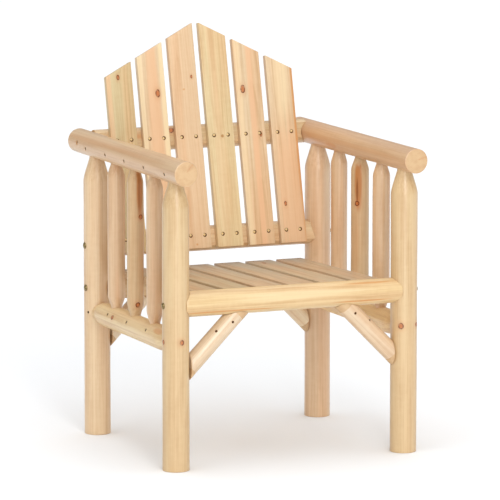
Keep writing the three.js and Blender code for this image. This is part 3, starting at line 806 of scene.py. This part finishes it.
def make_leg(end, end_sign, side, side_sign, seed):
    name = f"{end}_leg_{side}"
    y = FRONT_Y if end_sign < 0 else REAR_Y
    place = home((side_sign * LEG_X, y, 0), (0, 0, 1), (1, 0, 0))
    arm_underside = ARM_Z - ARM_RADIUS
    cone = cone_profile(LEG_RADIUS, LEG_NECK, arm_underside - LEG_CONE, LEG_CONE)
    top = ARM_Z - LEG_TENON_SHORT
    table = np.vstack([[0, LEG_RADIUS], cone, [top, LEG_NECK]])
    tenon = [arm_underside + 8 * MM, top - 6 * MM]
    stations = np.concatenate([even_stations(8 * MM, cone[0, 0]), cone[1:, 0], tenon])
    nail = leg_nail_place(end_sign, side_sign, y)
    holes = bolt_holes(end, side_sign) + [(nail, *SMALL_HOLE)]
    make_log(name, seed, place, top, round_profile(table), stations, flat_cut(0.0), flat_cut(top),
             SAWN_EASE, "log_wood", holes)
    head_group(f"{name}_nail", SMALL_HEAD, sunk([nail], SMALL_HEAD_DROP), NAIL_METAL, "zinc_steel")


def arm_nail_places(side_sign):
    """Where the arm's nails go in, on its outer side, one over each post."""
    outward = Vector((side_sign * math.cos(ARM_NAIL_TILT), 0, -math.sin(ARM_NAIL_TILT)))
    rows = [REAR_Y, *SPINDLE_ROWS, FRONT_Y]
    centres = [Vector((side_sign * LEG_X, y, ARM_Z)) for y in rows]
    return [facing(centre + outward * ARM_RADIUS, outward) for centre in centres]


def make_arm(side, side_sign, seed):
    name = f"arm_{side}"
    place = home((side_sign * LEG_X, ARM_FRONT, ARM_Z), (0, 1, 0), (0, 0, 1))
    screw = middle(f"arm_screw_{side}")
    mouth = facing((side_sign * (LEG_X + ARM_RADIUS), screw.y, screw.z), (side_sign, 0, 0))
    holes = [(mouth, ARM_RECESS_RADIUS, ARM_RECESS_DEPTH)]
    nails = arm_nail_places(side_sign)
    holes += [(nail, *ARM_NAIL_HOLE) for nail in nails]
    stations = even_stations(10 * MM, ARM_LENGTH - 10 * MM)
    make_log(name, seed, place, ARM_LENGTH, even_profile(ARM_RADIUS), stations,
             flat_cut(0.0), flat_cut(ARM_LENGTH), SAWN_EASE, "log_wood", holes)
    heads = sunk(nails, ARM_NAIL_DROP)
    head_group(f"arm_nails_{side}", NAIL_HEAD, heads, NAIL_METAL, "zinc_steel")


def post_cope(post, radius, fallback):
    """Where a level rail's lines meet an upright round post, measured from the post's axis."""
    def depth(offset):
        inside = np.maximum(radius ** 2 - (offset - post) ** 2, fallback ** 2)
        return np.sqrt(inside) + GAP
    return depth


def side_rail_nail_places(side_sign):
    """Where the side rail's nails go in, one beside each spindle, high on its outer side."""
    outward = Vector((side_sign * math.cos(RAIL_NAIL_LIFT), 0, math.sin(RAIL_NAIL_LIFT)))
    centres = [Vector((side_sign * LEG_X, y - 4 * MM, SIDE_RAIL_Z)) for y in SPINDLE_ROWS]
    return [facing(centre + outward * SIDE_RAIL_RADIUS, outward) for centre in centres]


def make_side_rail(side, side_sign, seed):
    name = f"side_rail_{side}"
    span = REAR_Y - FRONT_Y
    place = home((side_sign * LEG_X, FRONT_Y, SIDE_RAIL_Z), (0, 1, 0), (0, 0, 1))
    cope = post_cope(0.0, LEG_RADIUS, BLUNT * LEG_RADIUS)
    start = math.sqrt(LEG_RADIUS ** 2 - SIDE_RAIL_END_RADIUS ** 2)
    nose = nose_profile(SIDE_RAIL_RADIUS, SIDE_RAIL_END_RADIUS, SIDE_RAIL_NOSE)
    nose[:, 0] += start
    far_nose = np.stack([span - nose[:, 0], nose[:, 1]], 1)[::-1]
    first = LEG_RADIUS + 3 * MM
    zone = nose[-1, 0]
    near = np.linspace(first, zone, 8)
    stations = np.concatenate([near, even_stations(zone, span - zone), span - near])
    stations = np.unique(np.round(stations, 6))
    nails = side_rail_nail_places(side_sign)
    holes = [(nail, *RAIL_NAIL_HOLE) for nail in nails]
    make_log(name, seed, place, span, round_profile(np.vstack([nose, far_nose])), stations,
             lambda x, y: cope(y), lambda x, y: span - cope(y), COPE_EASE, "log_wood", holes, swell=0.8)
    heads = sunk(nails, RAIL_NAIL_DROP)
    head_group(f"side_rail_nails_{side}", NAIL_HEAD, heads, NAIL_METAL, "zinc_steel")


def make_spindle(side, side_sign, number, seed):
    name = f"spindle_{side}_{number}"
    radius = reach(name).x
    y = SPINDLE_ROWS[number - 1]
    low = SIDE_RAIL_Z + SPINDLE_FOOT_RISE
    height = ARM_Z - SPINDLE_TOP_SHORT - low
    shoulder = SIDE_RAIL_Z + SIDE_RAIL_RADIUS - low
    neck_top = ARM_Z - ARM_RADIUS - low
    top = cone_profile(radius, SPINDLE_NECK, neck_top - SPINDLE_CONE, SPINDLE_CONE)
    bottom = cone_profile(radius, SPINDLE_NECK, 0, SPINDLE_CONE)
    bottom = np.stack([shoulder + SPINDLE_CONE - bottom[:, 0], bottom[:, 1]], 1)[::-1]
    table = np.vstack([[0, SPINDLE_NECK], bottom, top, [height, SPINDLE_NECK]])
    shaft = even_stations(bottom[-1, 0], top[0, 0], 14 * MM)[1:-1]
    stations = np.concatenate([[6 * MM], bottom[:, 0], shaft, top[:, 0], [height - 6 * MM]])
    place = home((side_sign * LEG_X, y, low), (0, 0, 1), (1, 0, 0))
    make_log(name, seed, place, height, round_profile(table), stations, flat_cut(0.0),
             flat_cut(height), COPE_EASE, "spindle_wood", sides=THIN_SIDES, swell=0.6)


# ---- Rails across the chair: local X is up and local Y is towards the front ----

TINY = 1e-6
FAR = 1e6


def notched(radius_at, half_open, centre, wall, floor, tilt, facing_sign):
    """A rail that is cut away above floor and past wall, so that the seat slats can lie in it.
    facing_sign is -1 where the cut is behind the rail's axis and 1 where it is in front."""
    def shape(along, angles):
        radii = radius_at(along, angles)
        if abs(along - centre) > half_open:
            return radii
        up = np.cos(angles - facing_sign * tilt)
        out = facing_sign * np.sin(angles)
        past_wall = np.where(out > TINY, wall / np.maximum(out, TINY), FAR)
        above_floor = np.where(up > TINY, floor / np.maximum(up, TINY), FAR)
        return np.minimum(radii, np.maximum(past_wall, above_floor))
    return shape


def planed(radius_at, to_flat, towards):
    """A rail with one flat, whose normal stands at the angle towards."""
    def shape(along, angles):
        cos = np.cos(angles - towards)
        flat = np.where(cos > TINY, to_flat / np.maximum(cos, TINY), FAR)
        return np.minimum(radius_at(along, angles), flat)
    return shape


def around(angles, spread=0.002):
    return [angle + turn for angle in angles for turn in (-spread, 0, spread)]


def make_cross_rail(name, seed, y, z, radius_at, leg_y, stations, extra_angles=()):
    span = 2 * LEG_X
    place = home((-LEG_X, y, z), (1, 0, 0), (0, 0, 1))
    cope = post_cope(y - leg_y, LEG_RADIUS, BLUNT * LEG_RADIUS)
    make_log(name, seed, place, span, radius_at, stations, lambda px, py: cope(py),
             lambda px, py: span - cope(py), COPE_EASE, "log_wood", extra_angles=extra_angles)


def rail_stations(span, *breaks):
    zone = LEG_RADIUS + 10 * MM
    edges = sorted([zone, span - zone, *breaks])
    parts = [even_stations(low, high) for low, high in zip(edges, edges[1:])]
    return np.unique(np.round(np.concatenate(parts), 7))


SEAT_SLOPE = math.atan2(SEAT_HIGH.z - SEAT_LOW.z - SEAT_THICKNESS, SEAT_HIGH.y - SEAT_LOW.y)
SEAT_FRONT = Vector((0, SEAT_LOW.y + math.sin(SEAT_SLOPE) * SEAT_THICKNESS, SEAT_HIGH.z))
SEAT_ALONG = Vector((0, math.cos(SEAT_SLOPE), -math.sin(SEAT_SLOPE)))
SEAT_UP = Vector((0, math.sin(SEAT_SLOPE), math.cos(SEAT_SLOPE)))
SEAT_LENGTH = (SEAT_HIGH.y - SEAT_FRONT.y) / math.cos(SEAT_SLOPE)


def seat_notch(rail_y, rail_z, slat_end, facing_sign):
    """How far the notch's wall and floor lie from a rail's axis."""
    axis = Vector((0, rail_y, rail_z))
    floor = (SEAT_FRONT - axis).dot(SEAT_UP) - SEAT_THICKNESS - GAP
    wall = facing_sign * -((SEAT_FRONT + SEAT_ALONG * slat_end).y - rail_y) - GAP
    return wall, floor


def make_seat_rails():
    span = 2 * LEG_X
    half_open = SEAT_HALF_WIDTH + SEAT_NOTCH_MARGIN
    breaks = [LEG_X + sign * half_open + nudge for sign in (-1, 1) for nudge in (-0.05 * MM, 0.05 * MM)]
    for name, seed, y, z, radius, slat_end, facing_sign in (
            ("front_seat_rail", 31.0, FRONT_Y, FRONT_RAIL_Z, FRONT_RAIL_RADIUS, 0.0, -1),
            ("rear_seat_rail", 32.0, REAR_RAIL.y, REAR_RAIL.z, REAR_RAIL_RADIUS, SEAT_LENGTH, 1)):
        wall, floor = seat_notch(y, z, slat_end, facing_sign)
        table = [(0, radius), (span, radius)]
        if name == "rear_seat_rail":
            taper = REAR_RAIL_END_LENGTH
            end = REAR_RAIL_END_RADIUS
            table = [(0, end), (taper, radius), (span - taper, radius), (span, end)]
        shape = notched(round_profile(table), half_open, LEG_X, wall, floor, SEAT_SLOPE, facing_sign)
        corner = facing_sign * math.atan2(wall, floor)
        at_wall = facing_sign * math.asin(wall / radius)
        at_floor = facing_sign * math.acos(floor / radius)
        leg_y = FRONT_Y if facing_sign < 0 else REAR_Y
        make_cross_rail(name, seed, y, z, shape, leg_y, rail_stations(span, *breaks),
                        around([corner, at_wall, at_floor]))


def flat_angles(radius, to_flat):
    towards = math.pi / 2 - BACK_LEAN
    half = math.acos(to_flat / radius)
    return towards, around([towards - half, towards + half])


def make_lower_back_rail(seed):
    span = 2 * LEG_X
    to_flat = LOWER_RAIL_RADIUS - LOWER_FLAT
    towards, angles = flat_angles(LOWER_RAIL_RADIUS, to_flat)
    shape = planed(even_profile(LOWER_RAIL_RADIUS), to_flat, towards)
    make_cross_rail("lower_back_rail", seed, REAR_Y, LOWER_RAIL_Z, shape, REAR_Y,
                    rail_stations(span), angles)


def make_upper_back_rail(seed):
    """It ends in a saddle against the inner side of each arm."""
    low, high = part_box("upper_back_rail")
    span = high.x - low.x
    to_flat = UPPER_RAIL_RADIUS - UPPER_FLAT
    towards, angles = flat_angles(UPPER_RAIL_RADIUS, to_flat)
    shape = planed(even_profile(UPPER_RAIL_RADIUS), to_flat, towards)
    place = home((low.x, UPPER_RAIL_Y, UPPER_RAIL_Z), (1, 0, 0), (0, 0, 1))
    inset = LEG_X + low.x

    def saddle(up):
        inside = np.maximum(ARM_RADIUS ** 2 - (up + UPPER_RAIL_Z - ARM_Z) ** 2, 0)
        return np.maximum(np.sqrt(inside) + GAP - inset, 0)

    stations = even_stations(30 * MM, span - 30 * MM)
    make_log("upper_back_rail", seed, place, span, shape, stations, lambda x, y: saddle(x),
             lambda x, y: span - saddle(x), COPE_EASE, "log_wood", extra_angles=angles)


def brace_screw_places(end_sign, side_sign, foot, along, radius, length):
    """One near the top of the brace's outer face, one lower down and nearer to the corner it spans."""
    face = Vector((0, end_sign, 0))
    corner = Vector((side_sign, 0, 1)).normalized()
    places = []
    for share, tilt in BRACE_SCREWS:
        outward = face * math.cos(tilt) + corner * math.sin(tilt)
        places.append(facing(foot + along * (share * length) + outward * radius, outward))
    return places


def make_brace(end, end_sign, side, side_sign, seed):
    """Sawn upright where it stands against the leg, and coped to the underside of the rail."""
    name = f"{end}_brace_{side}"
    low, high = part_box(name)
    radius = (high.y - low.y) / 2
    face = low.x if side_sign < 0 else high.x
    y = (low.y + high.y) / 2
    foot = Vector((face, y, low.z + radius * math.sqrt(2)))
    along = Vector((-side_sign, 0, 1)).normalized()
    place = home(foot, along, (-side_sign, 0, -1))
    rail_z, rail_y, rail_radius = REAR_RAIL.z, REAR_RAIL.y, REAR_RAIL_RADIUS
    if end_sign < 0:
        rail_z, rail_y, rail_radius = FRONT_RAIL_Z, FRONT_Y, FRONT_RAIL_RADIUS
    turned_way = place.to_3x3().col[1].y

    def upper(x, across):
        offset = turned_way * across + y - rail_y
        underside = rail_z - np.sqrt(np.maximum(rail_radius ** 2 - offset ** 2, 0)) - GAP
        return (underside - foot.z) * math.sqrt(2) + x

    def lower(x, across):
        return -x

    length = float(upper(np.zeros(1), np.zeros(1))[0])
    stations = even_stations(radius + 6 * MM, length - radius - 8 * MM)
    screws = brace_screw_places(end_sign, side_sign, foot, along, radius, length)
    holes = [(screw, *SMALL_HOLE) for screw in screws]
    make_log(name, seed, place, length, even_profile(radius), stations, lower, upper, COPE_EASE,
             "log_wood", holes, sides=THIN_SIDES)
    heads = sunk(screws, SMALL_HEAD_DROP)
    head_group(f"{name}_screws", SMALL_HEAD, heads, DARK_HEAD_AND_SHADE_DISC_METAL, "zinc_steel")


# ---- Slats ----

SLAT_SLICE = 24 * MM  # how far apart the cuts are that let a slat bend
SLAT_BOW = 0.3 * MM
SLAT_RIPPLE = 0.12 * MM
SLAT_SWAY = 0.35 * MM


def board_mesh(name, outline, thickness, seed, holes):
    """A board whose face lies at local y = 0, from its outline as (across, along)."""
    bm = bmesh.new()
    face = bm.faces.new([bm.verts.new((across, 0, along)) for across, along in outline])
    sides = bmesh.ops.extrude_face_region(bm, geom=[face])
    moved = [item for item in sides["geom"] if isinstance(item, bmesh.types.BMVert)]
    bmesh.ops.translate(bm, vec=(0, thickness, 0), verts=moved)
    bmesh.ops.recalc_face_normals(bm, faces=bm.faces)
    bmesh.ops.bevel(bm, geom=list(bm.edges), offset=SLAT_EASE, segments=4, profile=0.5, affect="EDGES")
    length = max(along for _, along in outline)
    for along in np.arange(20 * MM, length - 4 * MM, SLAT_SLICE):
        geometry = list(bm.verts) + list(bm.edges) + list(bm.faces)
        bmesh.ops.bisect_plane(bm, geom=geometry, plane_co=(0, 0, along), plane_no=(0, 0, 1), dist=TINY)
    for vert in bm.verts:
        bow = noise.noise(Vector((seed, vert.co.z / 0.3, 0.0)))
        ripple = noise.noise(Vector((vert.co.x / 0.03, vert.co.z / 0.09, seed)))
        sway = noise.noise(Vector((seed + 9, vert.co.z / 0.2, 0.0)))
        vert.co.y += SLAT_BOW * bow + SLAT_RIPPLE * ripple
        vert.co.x += SLAT_SWAY * sway
    mesh = bpy.data.meshes.new(name)
    bm.to_mesh(mesh)
    bm.free()
    return sink_holes(mesh, Matrix.Identity(4), holes)


def make_slat(name, seed, place, outline, thickness, slot_name, screws):
    """A slat with its sunk screws, each given as (across, along)."""
    place = place @ Matrix.Translation((middle(name).x, 0, 0))
    length = max(along for _, along in outline)
    spots = []
    for number, (across, along) in enumerate(screws):
        spots.append(facing((across, 0, along), (0, -1, 0), 0.7 * number + seed))
    mesh = board_mesh(name, outline, thickness, seed, [(spot, *SLAT_SCREW_HOLE) for spot in spots])
    material, _ = piece_wood(name, seed, length)
    add_piece(name + "_board", mesh, place, material, slot_name, name)
    leaning = []
    for number, spot in enumerate(spots):
        lean = 2.5 + 0.9 * math.sin(seed + 2.1 * number)
        aside = Vector((math.cos(lean), 0, math.sin(lean))) * SLAT_SCREW_LEAN
        leaning.append(place @ Matrix.Translation(aside) @ spot)
    heads = sunk(leaning, SLAT_SCREW_DROP)
    head_group(name + "_screws", SCREW_HEAD, heads, SCREW_METAL, "zinc_steel")
    # A dark disc of painted shade lies in each hole under the leaning head, so the shade shows beside
    # the head as a crescent.
    shade_discs = sunk([place @ spot for spot in spots], SLAT_SHADE_DISC_DROP)
    head_group(name + "_cups", SCREW_SHADE_DISC, shade_discs, DARK_HEAD_AND_SHADE_DISC_METAL, "zinc_steel")


SCREW_OFFSET = 19 * MM
SEAT_SCREW_INSETS = (8 * MM, 10 * MM)  # from the slat's front end and from its rear end
LOWER_SCREW_RISE = 13.5 * MM  # above the lower back rail's axis
UPPER_SCREW_RISE = 5.2 * MM


def make_seat_slats():
    place = home(SEAT_FRONT, SEAT_ALONG, (1, 0, 0))
    half = SEAT_SLAT_WIDTH / 2
    outline = [(-half, 0), (half, 0), (half, SEAT_LENGTH), (-half, SEAT_LENGTH)]
    rows = (SEAT_SCREW_INSETS[0], SEAT_LENGTH - SEAT_SCREW_INSETS[1])
    screws = [(sign * SCREW_OFFSET, row) for row in rows for sign in (-1, 1)]
    for number in range(1, 7):
        make_slat(f"seat_slat_{number}", 40.0 + number * 1.7, place, outline, SEAT_THICKNESS,
                  "seat_wood", screws)


BACK_ALONG = Vector((0, math.sin(BACK_LEAN), math.cos(BACK_LEAN)))
BACK_FOOT = Vector((0, BACK_LOW.y, BACK_LOW.z))


def make_back_slats():
    place = home(BACK_FOOT, BACK_ALONG, (1, 0, 0))
    half = BACK_SLAT_WIDTH / 2
    heights = (LOWER_RAIL_Z + LOWER_SCREW_RISE, UPPER_RAIL_Z + UPPER_SCREW_RISE)
    rows = [(height - BACK_FOOT.z) / math.cos(BACK_LEAN) for height in heights]
    screws = [(sign * SCREW_OFFSET, row) for row in rows for sign in (-1, 1)]
    for number in range(1, 7):
        centre = middle(f"back_slat_{number}").x
        fall = math.tan(BACK_TOP_PITCH)
        tops = [BACK_PEAK - fall * abs(centre + sign * half) for sign in (-1, 1)]
        outline = [(-half, 0), (half, 0), (half, tops[1]), (-half, tops[0])]
        make_slat(f"back_slat_{number}", 60.0 + number * 2.3, place, outline, BACK_THICKNESS,
                  "back_wood", screws)


# ---- Bolts and the screws in the arms ----

BOLT_RADIUS = 8  # of the domed head, in millimetres like the whole outline
SHANK_RADIUS = 3.9
DOME_TURNS = np.linspace(0, 1.45, 9)


def make_bolts():
    """Six domed heads, each on the flat that is cut for it into a leg."""
    dome = [(BOLT_RADIUS * math.cos(turn), 0.9 + 4.3 * math.sin(turn)) for turn in DOME_TURNS]
    outline = [(3.0, -12.0), (SHANK_RADIUS, -11.5), (SHANK_RADIUS, 0.1), (7.6, 0.0),
               (BOLT_RADIUS, 0.3), *dome]
    rings = [(radius * MM, height * MM) for radius, height in outline]
    for rail in ("front_seat_rail", "rear_seat_rail", "lower_back_rail"):
        for side, side_sign in SIDES:
            node = f"{rail}_bolt_{side}"
            centre = middle(node)
            seat_x = side_sign * (LEG_X + LEG_RADIUS - BOLT_SEAT_DEPTH)
            place = facing((seat_x, centre.y, centre.z), (side_sign, 0, 0))
            mesh = turned_mesh(node, rings)
            add_piece(node + "_domed", mesh, place, BOLT_METAL, "zinc_steel", node)


ARM_SCREW_LIFT = 1.6 * MM  # how high the head sits above the floor of its hole


def make_arm_screws():
    """A cross-slotted screw deep in the outer side of each arm, into the upper back rail."""
    rings = pressed_head(5 * MM, 2.2 * MM, 3 * MM)
    for side, side_sign in SIDES:
        node = f"arm_screw_{side}"
        centre = middle(node)
        seat_x = side_sign * (LEG_X + ARM_RADIUS - ARM_RECESS_DEPTH + ARM_SCREW_LIFT)
        place = facing((seat_x, centre.y, centre.z), (side_sign, 0, 0))
        add_piece(node + "_sunk", loft(node, rings), place, SCREW_METAL, "zinc_steel", node)


# ---- The chair ----

for index, (side, side_sign) in enumerate(SIDES):
    for step, (end, end_sign) in enumerate(ENDS):
        make_leg(end, end_sign, side, side_sign, 1.3 + 4.1 * index + 1.9 * step)
        make_brace(end, end_sign, side, side_sign, 21.0 + 3.3 * index + 1.3 * step)
    make_arm(side, side_sign, 11.0 + 2.7 * index)
    make_side_rail(side, side_sign, 16.0 + 2.1 * index)
    for number in (1, 2, 3):
        make_spindle(side, side_sign, number, 80.0 + 7.3 * index + 1.1 * number)
make_seat_rails()
make_lower_back_rail(34.5)
make_upper_back_rail(36.2)
make_seat_slats()
make_back_slats()
make_bolts()
make_arm_screws()


# ---- Floor, light and camera ----

FLOOR_SIZE = 80


def studio_floor():
    bench = Bench("studio_floor")
    grain = bench.clouds((900, 900, 900), 3.0, 2.0)
    colour = bench.mix(grain, tone(249, 251, 254), tone(251, 253, 255))
    material = bench.finish(base_color=colour, roughness=0.12, specular_level=0.0)
    bpy.ops.mesh.primitive_grid_add(x_subdivisions=8, y_subdivisions=8, size=FLOOR_SIZE)
    floor = bpy.context.object
    floor.name = "floor"
    floor.data.materials.append(material)


WALL_LIGHT = 0.32
CEILING_LIGHT = 1.5
WALL_TOP = 0.3  # the sine of how high the walls reach before the ceiling's light begins


def studio_sky():
    """A white tent, brightest overhead."""
    world = bpy.data.worlds.new("studio")
    bpy.context.scene.world = world
    world.use_nodes = True
    tree = world.node_tree
    sky = tree.nodes["Background"]
    sky.inputs["Color"].default_value = (1, 1, 1, 1)
    ray = tree.nodes.new("ShaderNodeTexCoord")
    direction = tree.nodes.new("ShaderNodeSeparateXYZ")
    tree.links.new(ray.outputs["Generated"], direction.inputs[0])
    strength = tree.nodes.new("ShaderNodeMapRange")
    strength.inputs["From Min"].default_value = WALL_TOP
    strength.inputs["To Min"].default_value = WALL_LIGHT
    strength.inputs["To Max"].default_value = CEILING_LIGHT
    tree.links.new(direction.outputs["Z"], strength.inputs[0])
    tree.links.new(strength.outputs[0], sky.inputs["Strength"])


LAMP_WHITE = (1.0, 0.99, 0.975)
LAMP_DISTANCE = 6


def place_lamp(name, light, place, towards):
    """Stands a lamp at place, so that its light comes from the direction towards."""
    light.color = LAMP_WHITE
    lamp = bpy.data.objects.new(name, light)
    bpy.context.scene.collection.objects.link(lamp)
    lamp.location = place
    lamp.rotation_euler = towards.to_track_quat("Z", "Y").to_euler()


def heading(turn, rise):
    """A direction from the chair, in degrees. Turn runs from the front towards its left side."""
    turn, rise = math.radians(turn), math.radians(rise)
    level = math.cos(rise)
    return Vector((math.sin(turn) * level, -math.cos(turn) * level, math.sin(rise)))


def soft_lamp(name, strength, spread, turn, rise):
    """A large soft lamp far away, as wide across as spread."""
    light = bpy.data.lights.new(name, "SUN")
    light.energy = strength
    light.angle = math.radians(spread)
    towards = heading(turn, rise)
    place_lamp(name, light, towards * LAMP_DISTANCE, towards)


def soft_panel(name, power, turn, distance, width, height):
    """A tall panel that stands on the floor and gives the posts their upright sheen."""
    light = bpy.data.lights.new(name, "AREA")
    light.energy = power
    light.shape = "RECTANGLE"
    light.size = width
    light.size_y = height
    towards = heading(turn, 0)
    place_lamp(name, light, towards * distance + Vector((0, 0, height / 2)), towards)


studio_floor()
studio_sky()
soft_lamp("key", 0.62, 40, -9, 27)
soft_panel("panel", 62, -12, 4.5, 0.9, 4.2)
soft_lamp("fill", 0.27, 50, -70, 20)
bpy.context.scene.view_settings.view_transform = "Standard"

AIM = Vector((3.2, -25.25, 478.9)) * MM
CAMERA_TURN = -23.32
CAMERA_RISE = 8.65
CAMERA_DISTANCE = 11.097
camera_data = bpy.data.cameras.new("camera")
camera_data.lens = 325.4
camera_data.sensor_width = 36
camera_data.clip_end = 200
camera = bpy.data.objects.new("camera", camera_data)
bpy.context.scene.collection.objects.link(camera)
back = heading(CAMERA_TURN, CAMERA_RISE)
camera.location = AIM + back * CAMERA_DISTANCE
camera.rotation_euler = (-back).to_track_quat("-Z", "Y").to_euler()
bpy.context.scene.camera = camera
